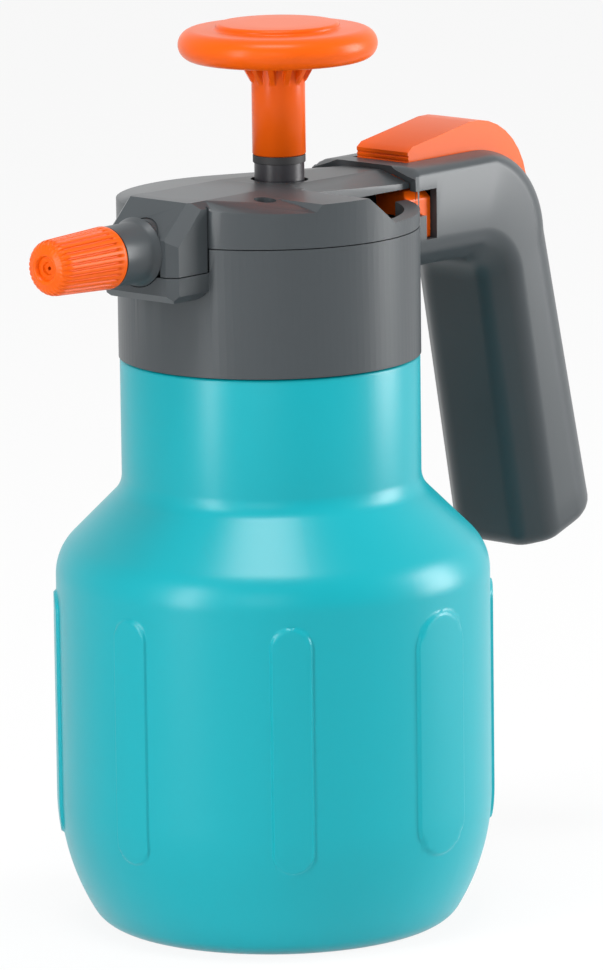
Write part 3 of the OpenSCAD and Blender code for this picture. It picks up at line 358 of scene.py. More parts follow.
def rounded_edges(piece, width, angle):
    """Bevel modifier that rounds the edges sharper than the angle, in degrees."""
    bevel = piece.modifiers.new("rounded edges", "BEVEL")
    bevel.width = width * MM
    bevel.segments = ROUNDING_SEGMENTS
    bevel.limit_method = "ANGLE"
    bevel.angle_limit = math.radians(angle)
    bevel.miter_outer = "MITER_ARC"
    bevel.harden_normals = True
    return piece


def dressed(node, finish, edge, angle=30):
    """Copy of a CAD node, merged, with its edges rounded by the edge width in millimetres."""
    mesh = frame["nodes"][node].data.copy()
    merged(mesh, outward=False, flat_angle=FLAT_FOLD)
    piece = shown(node + "_dressed", mesh, [node], finish, DRESSED_SHARP)
    return rounded_edges(piece, edge, angle)


def sharp_across_front(piece, low_x, angle):
    """Keeps sharp the edges that run across a piece and reach in front of low_x, in millimetres.

    The other edges are rounded where they fold more than the angle, in degrees.
    """
    bm = bmesh.new()
    bm.from_mesh(piece.data)
    weight = bm.edges.layers.float.new("bevel_weight_edge")
    for edge in bm.edges:
        behind = min(vert.co.x for vert in edge.verts) > low_x * MM
        across = abs(edge.verts[0].co.y - edge.verts[1].co.y) > MM
        fold = edge.calc_face_angle(0.0) > math.radians(angle)
        edge[weight] = float(fold and (behind or not across))
    bm.to_mesh(piece.data)
    bm.free()
    piece.modifiers["rounded edges"].limit_method = "WEIGHT"


def cutter(bm):
    """Mesh of a closed bmesh, which is then freed."""
    mesh = bpy.data.meshes.new("cutter")
    bm.to_mesh(mesh)
    bm.free()
    return mesh


def block(low_corner, high_corner):
    """Closed box mesh between two corners in millimetres."""
    bm = bmesh.new()
    bmesh.ops.create_cube(bm, size=1.0)
    a, b = np.array(low_corner) * MM, np.array(high_corner) * MM
    for vert in bm.verts:
        vert.co = Vector((a + b) / 2 + (b - a) * np.array(vert.co))
    return cutter(bm)


def drill(x, z, radius, y0, y1):
    """Closed cylinder mesh along Y, in millimetres."""
    bm = bmesh.new()
    bmesh.ops.create_cone(
        bm,
        cap_ends=True,
        segments=DRILL_SIDES,
        radius1=radius * MM,
        radius2=radius * MM,
        depth=(y1 - y0) * MM,
    )
    turn = Matrix.Rotation(np.pi / 2, 4, "X")
    bm.transform(Matrix.Translation(Vector((x, (y0 + y1) / 2, z)) * MM) @ turn)
    return cutter(bm)


def cut_out(piece, cutters):
    """Takes closed meshes out of a piece as its modifiers leave it.

    The result becomes the piece's mesh, and its modifiers are cleared.
    """
    tools = []
    for mesh in cutters:
        tool = bpy.data.objects.new("cutter", mesh)
        bpy.context.scene.collection.objects.link(tool)
        tools.append(tool)
        step = piece.modifiers.new("cut", "BOOLEAN")
        step.operation, step.solver, step.object = "DIFFERENCE", "EXACT", tool
    bpy.context.view_layer.update()
    graph = bpy.context.evaluated_depsgraph_get()
    piece.data = bpy.data.meshes.new_from_object(piece.evaluated_get(graph))
    piece.modifiers.clear()
    for tool in tools:
        bpy.data.objects.remove(tool)


# Materials


def linear(colour):
    """sRGB hex colour as linear RGBA."""
    c = np.array([int(colour[i : i + 2], 16) for i in (1, 3, 5)]) / 255
    c = np.where(c <= 0.04045, c / 12.92, ((c + 0.055) / 1.055) ** 2.4)
    return (*c, 1.0)


def add(tree, kind, inputs, **settings):
    """Adds a node with its own settings, each input set to a value or linked to a socket."""
    node = tree.nodes.new(kind)
    for key, value in settings.items():
        setattr(node, key, value)
    for key, value in inputs.items():
        if isinstance(value, bpy.types.NodeSocket):
            tree.links.new(value, node.inputs[key])
        else:
            node.inputs[key].default_value = value
    return node


def moulding(name, colour, roughness, grain, depth, specular=0.5, **shader):
    """Plastic from a steel mould, with an even colour and a fine grain.

    The grain is grain millimetres across and depth millimetres high.
    """
    material = bpy.data.materials.new(name)
    material.use_nodes = True
    tree = material.node_tree
    tree.nodes.clear()
    place = add(tree, "ShaderNodeTexCoord", {})
    noise = add(
        tree,
        "ShaderNodeTexNoise",
        {"Vector": place.outputs["Object"], "Scale": 1 / (grain * MM), "Detail": 2.0},
    )
    bump = add(
        tree,
        "ShaderNodeBump",
        {"Height": noise.outputs["Fac"], "Distance": depth * MM, "Strength": 1.0},
    )
    surface = add(
        tree,
        "ShaderNodeBsdfPrincipled",
        {
            "Base Color": linear(colour),
            "Roughness": roughness,
            "Specular IOR Level": specular,
            "Normal": bump.outputs["Normal"],
            **shader,
        },
    )
    add(tree, "ShaderNodeOutputMaterial", {"Surface": surface.outputs["BSDF"]})
    return material


# Blow-moulded polyethylene: waxy satin skin, highlights wide and soft
TEAL_POLYETHYLENE = moulding(
    "teal blow-moulded polyethylene", "#009AA5", 0.32, 1.6, 0.003, specular=0.30
)
# Glass-filled polypropylene from an etched mould: satin dark grey
GREY_POLYPROPYLENE = moulding(
    "grey moulded polypropylene", "#3E4346", 0.36, 0.9, 0.003, specular=0.30
)
# ABS from a polished mould: clean semi-gloss orange
ORANGE_ABS = moulding("orange moulded ABS", "#DE5808", 0.30, 1.2, 0.002, specular=0.16)
# Acetal for the sliding parts of the pump: satin black
BLACK_ACETAL = moulding("black moulded acetal", "#26252A", 0.36, 0.9, 0.002, IOR=1.48)
# Natural polypropylene of the parts inside: milky white
WHITE_POLYPROPYLENE = moulding(
    "natural moulded polypropylene", "#D9DBD7", 0.42, 1.2, 0.002, IOR=1.49
)
# Extruded soft PVC of hoses and dip tube: pale and a little glossy
HOSE_PVC = moulding("extruded hose PVC", "#D8DCD8", 0.35, 1.5, 0.002, IOR=1.53)
# Nitrile rubber of the seals: matt black
SEAL_RUBBER = moulding("moulded nitrile rubber", "#1C1C1E", 0.62, 0.8, 0.003, IOR=1.52)
# Zinc-plated steel of pins, springs and screws: bright and slightly grey
ZINC_STEEL = moulding("zinc-plated steel", "#B9BCBF", 0.32, 0.7, 0.002, Metallic=1.0)

FINISHES = {
    "teal_plastic": TEAL_POLYETHYLENE,
    "grey_plastic": GREY_POLYPROPYLENE,
    "orange_plastic": ORANGE_ABS,
    "black_plastic": BLACK_ACETAL,
    "white_plastic": WHITE_POLYPROPYLENE,
    "hose_plastic": HOSE_PVC,
    "seal_rubber": SEAL_RUBBER,
    "bright_steel": ZINC_STEEL,
}
SLOT_OF = {part["node"]: part["material_slot"] for part in frame["record"]["subparts"]}
for node_name, node_object in frame["nodes"].items():
    node_object.data.materials.clear()
    node_object.data.materials.append(FINISHES[SLOT_OF[node_name]])


# Bottle


def bottle_side(inset, steps):
    """Side of the bottle, foot to neck, as four arcs, moved inwards by inset.

    The arcs meet smoothly, and straight lines join them where the wall is upright or slopes.
    The base curve's radius follows from the foot ring, its corner and the height where the
    curve meets the wall.
    """
    width = BODY_R - FOOT_R
    base_r = (width**2 + BASE_RISE**2 - 2 * BASE_RISE * FOOT_CORNER_R) / (
        2 * (width - FOOT_CORNER_R)
    )
    turn = math.degrees(math.atan2(FOOT_CORNER_R - BASE_RISE, base_r - width))
    slope = math.degrees(SHOULDER_SLOPE)
    shoulder_x = BODY_R - SHOULDER_R * (1 - math.sin(SHOULDER_SLOPE))
    fillet_x = NECK_R + NECK_FILLET_R * (1 - math.sin(SHOULDER_SLOPE))
    neck_x = NECK_R + NECK_FILLET_R
    neck_base = (
        BODY_TOP
        + (SHOULDER_R + NECK_FILLET_R) * math.cos(SHOULDER_SLOPE)
        + (shoulder_x - fillet_x) * math.tan(SHOULDER_SLOPE)
    )
    return np.concatenate(
        [
            arc((FOOT_R, FOOT_CORNER_R), FOOT_CORNER_R - inset, -90, turn, steps),
            arc((BODY_R - base_r, BASE_RISE), base_r - inset, turn, 0, 2 * steps),
            arc((BODY_R - SHOULDER_R, BODY_TOP), SHOULDER_R - inset, 0, 90 - slope, steps),
            arc((neck_x, neck_base), NECK_FILLET_R + inset, 270 - slope, 180, steps),
        ]
    )


def pad_angles():
    """Angles round the bottle, close together on the pads' edges and wider apart between pads."""
    inside = np.linspace(-1, 1, PAD_COLUMNS)
    gap = np.linspace(0, 2 * np.pi / PAD_COUNT, GAP_COLUMNS)[2:-2]
    sets = []
    for k in range(PAD_COUNT):
        width, edge = pad_size(k)
        rim = width / 2 - edge * np.array(PAD_RIM_SHARES)
        across = np.concatenate([rim, -rim, inside * (width / 2 - PAD_FACE_INSET * edge)])
        sets.append(pad_angle(k) + np.arcsin(across / BODY_R))
        sets.append(pad_angle(k) + gap)
    return np.unique(np.round(np.concatenate(sets) % (2 * np.pi), ANGLE_DIGITS))


def pad_size(k):
    """Width of pad k and of its sloped edge: the first one is wide."""
    return (WIDE_PAD_W, WIDE_PAD_EDGE) if k == 0 else (PAD_W, PAD_EDGE)


def pad_angle(k):
    """Angle of pad k's middle; the wide one faces -Y but for a small turn."""
    return PAD_TURN - np.pi / 2 + 2 * np.pi * k / PAD_COUNT


def pad_height(radius, height, angle):
    """How far the pads stand out: a step eased over the sloped edge.

    It is measured by the distance inside each pad's outline, a slot with round ends.
    """
    proud = np.zeros(np.broadcast(height, angle).shape)
    for k in range(PAD_COUNT):
        width, edge = pad_size(k)
        turn = angle - pad_angle(k)
        across = np.where(np.cos(turn) > 0, radius * np.sin(turn), OTHER_SIDE)
        along = np.maximum(np.abs(height - PAD_MID) - (PAD_H - width) / 2, 0)
        inside = width / 2 - np.hypot(across, along)
        proud = np.maximum(proud, PAD_PROUD * ease(inside / edge))
    return proud


def bottle():
    """Profile turned about Z, outside and inside, with the pads raised on the outside."""
    foot_in = FOOT_R - FOOT_RING_W
    foot = np.array([[0, FOOT_RECESS], [foot_in - FOOT_RECESS, FOOT_RECESS], [foot_in, 0]])
    lip_centre = (NECK_R - NECK_LIP_R, NECK_TOP - NECK_LIP_R)
    lip = np.concatenate(
        [
            arc(lip_centre, NECK_LIP_R, 0, 90, LIP_STEPS),
            [[MOUTH_R, NECK_TOP], [MOUTH_R, MOUTH_TOP], [MOUTH_R - MOUTH_WALL, MOUTH_TOP]],
        ]
    )
    side = bottle_side(0, SIDE_STEPS)
    under_shoulder = side[:, 1] <= BODY_TOP
    padded = spaced(side[under_shoulder], PAD_ROW)
    outside = np.concatenate([foot, padded, side[~under_shoulder], lip])
    mouth = [
        [MOUTH_R - MOUTH_WALL, NECK_TOP - BOTTLE_WALL],
        [NECK_R - BOTTLE_WALL, NECK_TOP - 3 * BOTTLE_WALL],
    ]
    floor = [
        [foot_in, BOTTLE_WALL],
        [foot_in - FOOT_RECESS, FOOT_RECESS + BOTTLE_WALL],
        [0, FOOT_RECESS + BOTTLE_WALL],
    ]
    inside = np.concatenate([mouth, bottle_side(BOTTLE_WALL, LINING_STEPS)[::-1], floor])
    angle = pad_angles()[None, :]
    radius, height = outside[:, :1], outside[:, 1:]
    skin = turned(radius + pad_height(radius, height, angle) * (radius > foot_in), height, angle)
    lining = turned(inside[:, :1], inside[:, 1:], angle)
    walls = patch(np.concatenate([skin, lining]), True)
    made("bottle_moulding", [walls, thread()], ["bottle"], TEAL_POLYETHYLENE, MOULDED_SHARP)


def thread():
    """Trapezium ridge carried up a helix round the mouth: height = pitch times turns."""
    turns = np.linspace(0, THREAD_TURNS, THREAD_STEPS)[:, None]
    ends = ease(np.minimum(turns, THREAD_TURNS - turns) / THREAD_RUN_OUT)
    root, crest = MOUTH_R - THREAD_SINK + 0 * ends, MOUTH_R + THREAD_DEPTH * ends
    radius = np.concatenate([root, crest, crest, root], 1)
    rise = np.array([[-THREAD_ROOT_W, -THREAD_CREST_W, THREAD_CREST_W, THREAD_ROOT_W]]) / 2
    height = NECK_TOP + THREAD_LOW + THREAD_PITCH * turns + rise
    return patch(turned(radius, height, 2 * np.pi * turns + 0 * rise), True)


# Handle


def handle_edge(share, inner):
    """Inner or outer edge of the handle seen from the side.

    share 0 to 1 runs along the arm, 1 to 2 round the corner's arc and 2 to 3 down the leaning grip.
    """
    lean = GRIP_LEAN if inner else BACK_LEAN
    radius = INNER_CORNER_R if inner else OUTER_CORNER_R
    top = ARM_Z0 if inner else ARM_Z1
    inner_x = GRIP_X + radius * (math.tan(lean) - 1 / math.cos(lean))
    centre = np.array([inner_x if inner else OUTER_CORNER_X, top - radius])
    a = np.pi / 2 - (np.pi / 2 - lean) * np.clip(share - 1, 0, 1)
    x = centre[0] + radius * np.cos(a)
    z = centre[1] + radius * np.sin(a)
    end = ARM_Z0 - GRIP_LEN + (0 if inner else GRIP_END_RISE)
    drop = (centre[1] + radius * math.sin(lean) - end) * np.clip(share - 2, 0, 1)
    x = x - (centre[0] - ARM_X0) * np.clip(1 - share, 0, 1) + drop * math.tan(lean)
    return np.stack([x, z - drop], -1)


def eased_corner(before, corner, after, reach, t):
    """Curve that rounds a corner: (1-t)^2 p + 2t(1-t) corner + t^2 q.

    p and q lie on the sides of the corner, its reach away from it.
    """
    start, finish = before - corner, after - corner
    p = corner + start / np.linalg.norm(start, axis=-1, keepdims=True) * reach
    q = corner + finish / np.linalg.norm(finish, axis=-1, keepdims=True) * reach
    t = t[None, :, None]
    p, corner, q = p[:, None], corner[:, None], q[:, None]
    return (p * (1 - t) + corner * t) * (1 - t) + (corner * (1 - t) + q * t) * t


def handle_section(share):
    """Half sections of the handle, from the inner middle round to the outer middle.

    Points are depth from the inner edge and width. They follow the inner flat, a chamfer, the side,
    an elliptic outer edge that grows from the arm to the grip, and the outer flat. Also gives the
    number of columns over the trigger slot.
    """
    depth = np.linalg.norm(handle_edge(share, False) - handle_edge(share, True), axis=-1)
    turn = np.clip(share - 1, 0, 1)
    edge_depth = ARM_EDGE + (GRIP_EDGE - ARM_EDGE) * turn
    flat = ARM_FLAT_HALF_W - (ARM_FLAT_HALF_W - GRIP_FLAT_HALF_W) * turn
    zero, wide = 0 * depth, 0 * depth + HANDLE_HALF_W
    chamfer = FACE_CHAMFER_SHARE * (HANDLE_HALF_W - GRIP_FACE_HALF_W)
    middle = np.stack([zero, zero], -1)
    face_edge = np.stack([zero, zero + GRIP_FACE_HALF_W], -1)
    side_low = np.stack([zero + chamfer, wide], -1)
    side_high = np.stack([depth - edge_depth, wide], -1)
    t = np.linspace(0, 1, CORNER_COLUMNS)
    on_flat = np.linspace(0, FLAT_REACH, FLAT_COLUMNS)[None, :, None]
    inner = middle[:, None] + (face_edge - middle)[:, None] * on_flat
    first = eased_corner(middle, face_edge, side_low, FACE_CORNER, t)
    second = eased_corner(face_edge, side_low, side_high, FACE_CORNER, t)
    last = np.arccos((SLOT_HALF_W - flat) / (HANDLE_HALF_W - flat))
    a = last[:, None] * np.linspace(0, 1, EDGE_COLUMNS)[None, :]
    around = np.stack(
        [
            depth[:, None] - edge_depth[:, None] * (1 - np.sin(a)),
            flat[:, None] + (HANDLE_HALF_W - flat)[:, None] * np.cos(a),
        ],
        -1,
    )
    y = SLOT_HALF_W * np.linspace(1, 0, SLOT_COLUMNS)[None, 1:]
    beyond = np.clip((y - flat[:, None]) / (HANDLE_HALF_W - flat)[:, None], 0, 1)
    outer_depth = depth[:, None] - edge_depth[:, None] * (1 - np.sqrt(1 - beyond**2))
    outer = np.stack([outer_depth, y + 0 * beyond], -1)
    return np.concatenate([inner, first, second, around, outer], 1), y.shape[1]


def shares(start, end, rows):
    """Even shares along the handle from start up to the one before end."""
    return np.linspace(start, end, rows)[:-1]


def handle_shell(side):
    """Half of the handle as a skin over its sections, with a rounded end.

    It is open at the trigger slot. At the front the arm's top is held under a ramp that starts
    near the end of the cover's sloped spine.
    """
    corner_length = OUTER_CORNER_X - ARM_X0
    slot_start = (SLOT_FRONT - ARM_X0) / corner_length
    tail = math.asin((OUTER_CORNER_R - SLOT_END_DROP) / OUTER_CORNER_R)
    slot_end = 1 + (np.pi / 2 - tail) / (np.pi / 2 - BACK_LEAN)
    arm = [shares(0, slot_start, ARM_ROWS[0]), shares(slot_start, 1, ARM_ROWS[1])]
    bend = [shares(1, slot_end, BEND_ROWS[0]), shares(slot_end, 2, BEND_ROWS[1])]
    end_share = GRIP_END_R / GRIP_LEN
    grip = np.linspace(2, 3 - end_share, GRIP_ROWS)
    full_size = np.concatenate([*arm, *bend, grip])
    rounding = 3 - end_share * (1 - np.sin(GRIP_END_TURNS))
    closing = np.full(len(GRIP_END_SIZES), 3.0)
    share = np.concatenate([full_size, rounding, closing])
    section, outer_columns = handle_section(share)
    inset = np.concatenate(
        [
            np.zeros(len(full_size)),
            GRIP_END_R * (1 - np.cos(GRIP_END_TURNS)),
            np.full(len(closing), GRIP_END_R),
        ]
    )
    size = 1 - inset[:, None] / HANDLE_HALF_W
    size[-len(closing) :, 0] *= GRIP_END_SIZES
    inner, outer = handle_edge(share, True), handle_edge(share, False)
    depth = np.linalg.norm(outer - inner, axis=-1)[:, None]
    across = (outer - inner) / depth
    v = depth / 2 + (section[..., 0] - depth / 2) * size
    y = section[..., 1] * size
    x, z = inner[:, :1] + across[:, :1] * v, inner[:, 1:] + across[:, 1:] * v
    crest = SPINE_END_Z - SPINE_SLOPE * np.maximum(y - SPINE_HALF_W, 0)
    ramp = crest + ARM_RAMP * (x - ARM_X0)
    vertices, quads = patch(np.stack([x, side * y, np.minimum(z, ramp)], -1), False)
    cols = y.shape[1]
    row, col = np.divmod(quads[:, 0], cols)
    along = share[row] + SHARE_MARGIN
    in_slot = (along >= slot_start) & (along < slot_end)
    quads = quads[~(in_slot & (col >= cols - outer_columns - 1))]
    return vertices, quads if side < 0 else quads[:, ::-1]


def screw_places():
    """Places of the handle screws from the side: one in the arm, then along the grip's middle."""
    places = [ARM_SCREW]
    for share in GRIP_SCREW_SHARES:
        depth = share * GRIP_LEN
        front = GRIP_X + depth * math.tan(GRIP_LEAN)
        bend_z = ARM_Z1 - OUTER_CORNER_R + OUTER_CORNER_R * math.sin(BACK_LEAN)
        back = OUTER_CORNER_X + OUTER_CORNER_R * math.cos(BACK_LEAN)
        back += (bend_z - ARM_Z0 + depth) * math.tan(BACK_LEAN)
        places.append(((front + back) / 2, ARM_Z0 - depth))
    return places


def handle_half(node, side):
    """Handle half with its wall thickness.

    The lock's opening is cut in the left one, the screw holes in the right one.
    """
    skin = handle_shell(side)
    name = node + "_moulding"
    half = made(name, [skin], [node], GREY_POLYPROPYLENE, MOULDED_SHARP, outward=False)
    wall = half.modifiers.new("wall", "SOLIDIFY")
    wall.thickness = HANDLE_WALL * MM
    wall.offset = -1
    wall.use_even_offset = True
    if side < 0:
        a, b = low("lock_slide") - LOCK_CLEAR, high("lock_slide") + LOCK_CLEAR
        front, back = a[1] - CUT_PAST, -HANDLE_HALF_W + HANDLE_WALL + CUT_INSIDE
        leg_x = b[0] - LOCK_LEG - 2 * LOCK_CLEAR
        cutters = [
            block((a[0] - CUT_PAST, front, COVER_BOTTOM - LOCK_REST), (b[0], back, b[2])),
            block((leg_x, front, a[2]), (b[0], back, b[2] - LOCK_LAP)),
        ]
    else:
        outside = HANDLE_HALF_W + CUT_PAST
        cutters = [drill(x, z, SCREW_HOLE_R, SCREW_SEAT, outside) for x, z in screw_places()]
    cut_out(half, cutters)
    half.data.set_sharp_from_angle(angle=math.radians(MOULDED_SHARP))
    return rounded_edges(half, HANDLE_RIM, HANDLE_RIM_FOLD)


# Pump knob


def pump_knob():
    """Profile turned about the pump axis.

    Under the disc the shaft swells into ribs: radius + reach where cos(n angle) is high.
    """
    rim_r = KNOB_T / 2
    top = KNOB_TOP - KNOB_DISC_H
    middle = top - rim_r
    under = middle - rim_r
    bore_stop = under - KNOB_BORE_STOP
    rise = np.linspace(0, 1, RIB_ROWS)
    shaft = np.array(
        [
            [SHAFT_BORE_R, bore_stop],
            [SHAFT_BORE_R, SHAFT_END],
            [SHAFT_R - SHAFT_CHAMFER, SHAFT_END],
            [SHAFT_R, SHAFT_END + SHAFT_CHAMFER],
            *([SHAFT_R, under - RIB_H - lead] for lead in RIB_LEADS),
        ]
    )
    ribs = np.stack([SHAFT_R + 0 * rise, under - RIB_H + RIB_H * rise], 1)
    rim = arc((KNOB_R - rim_r, middle), rim_r, -90, 90, KNOB_RIM_STEPS)
    disc_side = KNOB_DISC_R + KNOB_DISC_SIDE
    foot_centre = (disc_side + KNOB_DISC_FOOT_R, top + KNOB_DISC_FOOT_R)
    edge_centre = (disc_side - KNOB_DISC_EDGE_R, KNOB_TOP - KNOB_DISC_EDGE_R)
    profile = np.concatenate(
        [
            [[0, bore_stop]],
            shaft,
            ribs,
            [[SHAFT_R + RIB_REACH + RIB_CLEAR, under]],
            rim,
            arc(foot_centre, KNOB_DISC_FOOT_R, 270, 180, KNOB_DISC_FOOT_STEPS),
            arc(edge_centre, KNOB_DISC_EDGE_R, 0, 90, KNOB_DISC_EDGE_STEPS),
            [[KNOB_DISC_R / 2, KNOB_TOP], [0, KNOB_TOP]],
        ]
    )
    angle = np.linspace(0, 2 * np.pi, KNOB_SIDES, endpoint=False)[None, :]
    in_rib = np.zeros(len(profile))
    first = 1 + len(shaft)
    in_rib[first : first + len(ribs)] = RIB_START + (RIB_REACH - RIB_START) * rise
    in_rib[first] = 0
    comb = ease((np.cos(KNOB_RIBS * angle) + RIB_SHARE) / RIB_FLANK)
    radius = profile[:, :1] + in_rib[:, None] * comb
    points = turned(radius, profile[:, 1:], angle) + [PUMP_X, 0, 0]
    made("palm_knob", [patch(points, True)], ["pump_knob"], ORANGE_ABS, TURNED_SHARP)


# Spray cap


def spray_cap():
    """Profile turned about the nozzle axis, with grip grooves where a comb of the angle is low."""
    length = CAP_BACK - CAP_TIP
    shoulder_at = length - CAP_SHOULDER
    band = CAP_BAND + np.array(CAP_BAND_ROWS)
    ribbed = np.linspace(CAP_BAND + CAP_SIDE_START, shoulder_at, CAP_SIDE_ROWS)
    side_z = np.concatenate([[CAP_CHAMFER], band, ribbed])
    side_r = CAP_R + (CAP_SHOULDER_R - CAP_R) * side_z / shoulder_at
    curve_centre = (CAP_SHOULDER_R - CAP_SHOULDER, shoulder_at)
    curve = arc(curve_centre, CAP_SHOULDER, *CAP_CURVE, CAP_CURVE_STEPS)
    rim_in = CAP_FRONT_R - CAP_RIM_W
    front = np.array(
        [
            [CAP_FRONT_R, length - CAP_RIM_DROP],
            [CAP_FRONT_R - CAP_RIM_EASE, length],
            [rim_in + CAP_RIM_EASE, length],
            [rim_in, length - CAP_RIM_DROP],
            [rim_in - CAP_RIM_EASE, length - CAP_DISH],
            [CAP_SEAT_R, length - CAP_DISH],
            [CAP_SEAT_R - CAP_SEAT_LEAN, length - CAP_SEAT],
            [SPRAY_R, length - CAP_SEAT],
            [SPRAY_R, CAP_BORE_DEPTH],
            [CAP_BORE_R, CAP_BORE_DEPTH],
            [CAP_BORE_R, 0],
            [CAP_R - CAP_CHAMFER, 0],
        ]
    )
    outside = np.concatenate([np.stack([side_r, side_z], 1), curve])
    profile = np.concatenate([outside, front, outside[:1]])
    angle = np.linspace(0, 2 * np.pi, CAP_RIBS * CAP_RIB_STEPS, endpoint=False)[None, :]
    comb = ease((np.cos(CAP_RIBS * angle) + CAP_RIB_SHARE) / CAP_RIB_FLANK)
    run_in = ease((outside[:, 1] - CAP_BAND) / CAP_GROOVE_START)
    fade = CAP_GROOVE_FADE * ease((outside[:, 1] - shoulder_at) / CAP_SHOULDER)
    depth = np.zeros(len(profile))
    depth[: len(outside)] = CAP_GROOVE * (run_in * (1 - fade))
    radius = profile[:, :1] - depth[:, None] * (1 - comb)
    grid = turned(radius, profile[:, 1:], angle)
    points = np.stack([CAP_BACK - grid[..., 2], grid[..., 1], NOZZLE_Z + grid[..., 0]], -1)
    made("spray_cap", [patch(points, True)], ["nozzle_cap"], ORANGE_ABS, TURNED_SHARP)


bottle()
handle_half("handle_left", -1)
handle_half("handle_right", 1)
pump_knob()
spray_cap()
dressed("head_collar", GREY_POLYPROPYLENE, FINE_EDGE)
dressed("head_cover", GREY_POLYPROPYLENE, COVER_EDGE)
dressed("nozzle_barrel", GREY_POLYPROPYLENE, FINE_EDGE)
trigger = dressed("trigger_lever", ORANGE_ABS, ORANGE_EDGE)
sharp_across_front(trigger, low("trigger_lever")[0] + TRIGGER_FRONT, TRIGGER_FOLD)
dressed("lock_slide", ORANGE_ABS, ORANGE_EDGE, LOCK_FOLD)
dressed("plunger_rod", BLACK_ACETAL, FINE_EDGE)
dressed("rod_ring", SEAL_RUBBER, RING_EDGE)


# Stage, light and camera

# Camera fitted to the photograph: pixels, degrees turned to radians, and millimetres
PHOTO_W, PHOTO_H = 603, 970
FOCAL_PIXELS = 7864.7
SENSOR = 36.0
CAMERA_AZIMUTH = math.radians(-48)
CAMERA_AWAY = 2200.0
CAMERA_UP = 553.8
AIM_HEIGHT = 120.0
AIM_PIXEL = (272.08, 505.83)
CAMERA_ROLL = math.radians(-0.776)

# Stage: metres and shares of full light
LAMP_AIM = Vector((0, 0, 0.14))
FLOOR_REACH = 6.0
FLOOR_GLOW = 0.9
ROOM_LIGHT = 0.26
WHITE = (1, 1, 1, 1)


def camera():
    """Long lens at the photograph's angle.

    The point AIM_HEIGHT up the bottle's axis falls on AIM_PIXEL.
    """
    place = Vector(
        (
            math.sin(CAMERA_AZIMUTH) * CAMERA_AWAY,
            -math.cos(CAMERA_AZIMUTH) * CAMERA_AWAY,
            CAMERA_UP,
        )
    )
    forward = (Vector((0, 0, AIM_HEIGHT)) - place).normalized()
    level = forward.cross(Vector((0, 0, 1))).normalized()
    upright = level.cross(forward)
    right = level * math.cos(CAMERA_ROLL) + upright * math.sin(CAMERA_ROLL)
    up = right.cross(forward)
    centre = (
        forward * FOCAL_PIXELS
        + right * (PHOTO_W / 2 - AIM_PIXEL[0])
        - up * (PHOTO_H / 2 - AIM_PIXEL[1])
    ).normalized()
    right = (right - centre * right.dot(centre)).normalized()
    up = right.cross(centre)
    data = bpy.data.cameras.new("camera")
    data.lens = FOCAL_PIXELS / PHOTO_H * SENSOR
    data.sensor_width = SENSOR
    data.clip_start, data.clip_end = 0.1, 50
    eye = bpy.data.objects.new("camera", data)
    bpy.context.scene.collection.objects.link(eye)
    turn = Matrix((right, up, -centre)).transposed()
    eye.matrix_world = Matrix.Translation(place * MM) @ turn.to_4x4()
    bpy.context.scene.camera = eye


def softbox(name, azimuth, elevation, away, size, power):
    """White area light in metres and watts, aimed at the object from angles in degrees."""
    a, e = math.radians(azimuth), math.radians(elevation)
    back = Vector((math.sin(a) * math.cos(e), -math.cos(a) * math.cos(e), math.sin(e)))
    data = bpy.data.lights.new(name, "AREA")
    data.shape = "RECTANGLE"
    data.size, data.size_y = size
    data.energy = power
    lamp = bpy.data.objects.new(name, data)
    lamp.location = LAMP_AIM + back * away
    lamp.rotation_euler = (-back).to_track_quat("-Z", "Y").to_euler()
    bpy.context.scene.collection.objects.link(lamp)


def seen_directly(tree):
    """Socket that is 1 for rays from the camera, also those reflected or refracted on the way."""
    path = add(tree, "ShaderNodeLightPath", {})
    seen = path.outputs["Is Camera Ray"]
    for kind in ("Is Glossy Ray", "Is Transmission Ray"):
        both = add(tree, "ShaderNodeMath", {0: seen, 1: path.outputs[kind]}, operation="MAXIMUM")
        seen = both.outputs[0]
    return seen


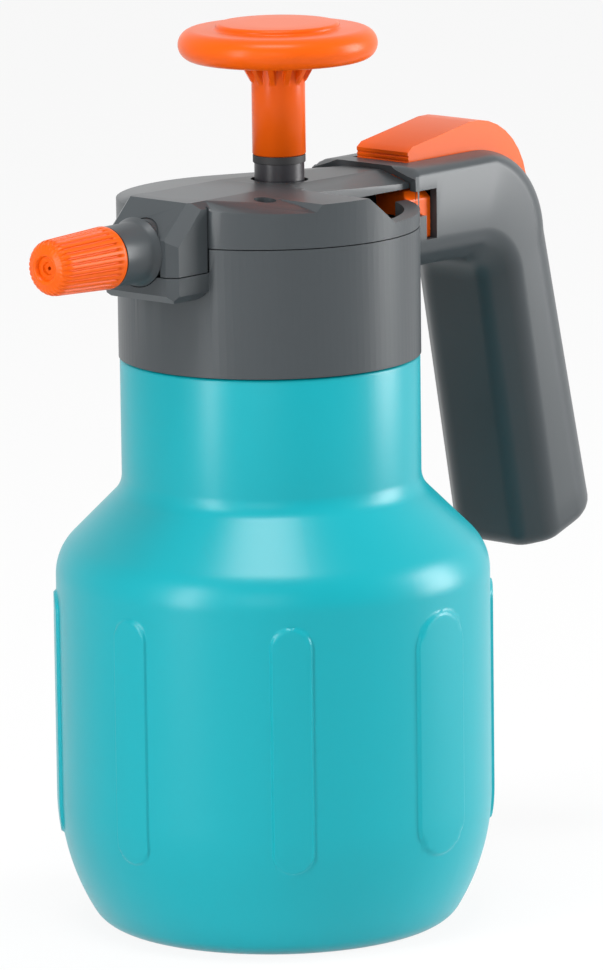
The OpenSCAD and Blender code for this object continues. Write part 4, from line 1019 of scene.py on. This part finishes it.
def floor():
    """Pale floor that shows almost white and keeps a soft shadow."""
    material = bpy.data.materials.new("pale floor")
    material.use_nodes = True
    tree = material.node_tree
    tree.nodes.clear()
    matt = add(tree, "ShaderNodeBsdfDiffuse", {"Color": linear("#F4F4F4")})
    glow = add(tree, "ShaderNodeEmission", {"Color": WHITE, "Strength": 1.0})
    glow_inputs = {0: seen_directly(tree), 1: FLOOR_GLOW}
    share = add(tree, "ShaderNodeMath", glow_inputs, operation="MULTIPLY")
    mixed = add(
        tree,
        "ShaderNodeMixShader",
        {0: share.outputs[0], 1: matt.outputs[0], 2: glow.outputs[0]},
    )
    add(tree, "ShaderNodeOutputMaterial", {"Surface": mixed.outputs[0]})
    mesh = bpy.data.meshes.new("floor")
    turns = [(-1, -1), (1, -1), (1, 1), (-1, 1)]
    corners = [(x * FLOOR_REACH, y * FLOOR_REACH, 0) for x, y in turns]
    mesh.from_pydata(corners, [], [(0, 1, 2, 3)])
    mesh.materials.append(material)
    ground = bpy.data.objects.new("floor", mesh)
    bpy.context.scene.collection.objects.link(ground)


def surroundings():
    """World: white where it is seen, a plain grey light elsewhere."""
    world = bpy.data.worlds.new("studio")
    bpy.context.scene.world = world
    world.use_nodes = True
    tree = world.node_tree
    tree.nodes.clear()
    light = add(tree, "ShaderNodeBackground", {"Color": WHITE, "Strength": ROOM_LIGHT})
    white = add(tree, "ShaderNodeBackground", {"Color": WHITE, "Strength": 1.0})
    mixed = add(
        tree,
        "ShaderNodeMixShader",
        {0: seen_directly(tree), 1: light.outputs[0], 2: white.outputs[0]},
    )
    add(tree, "ShaderNodeOutputWorld", {"Surface": mixed.outputs[0]})


camera()
floor()
surroundings()
softbox("right softbox", 50, 12, 1.5, (0.6, 0.9), 24)
softbox("left strip", -94, 14, 1.3, (0.2, 0.9), 10)
softbox("front fill", -55, 16, 1.6, (0.7, 0.7), 3)
softbox("top softbox", -58, 74, 1.4, (0.7, 0.35), 13)
bpy.context.scene.view_settings.view_transform = "Standard"
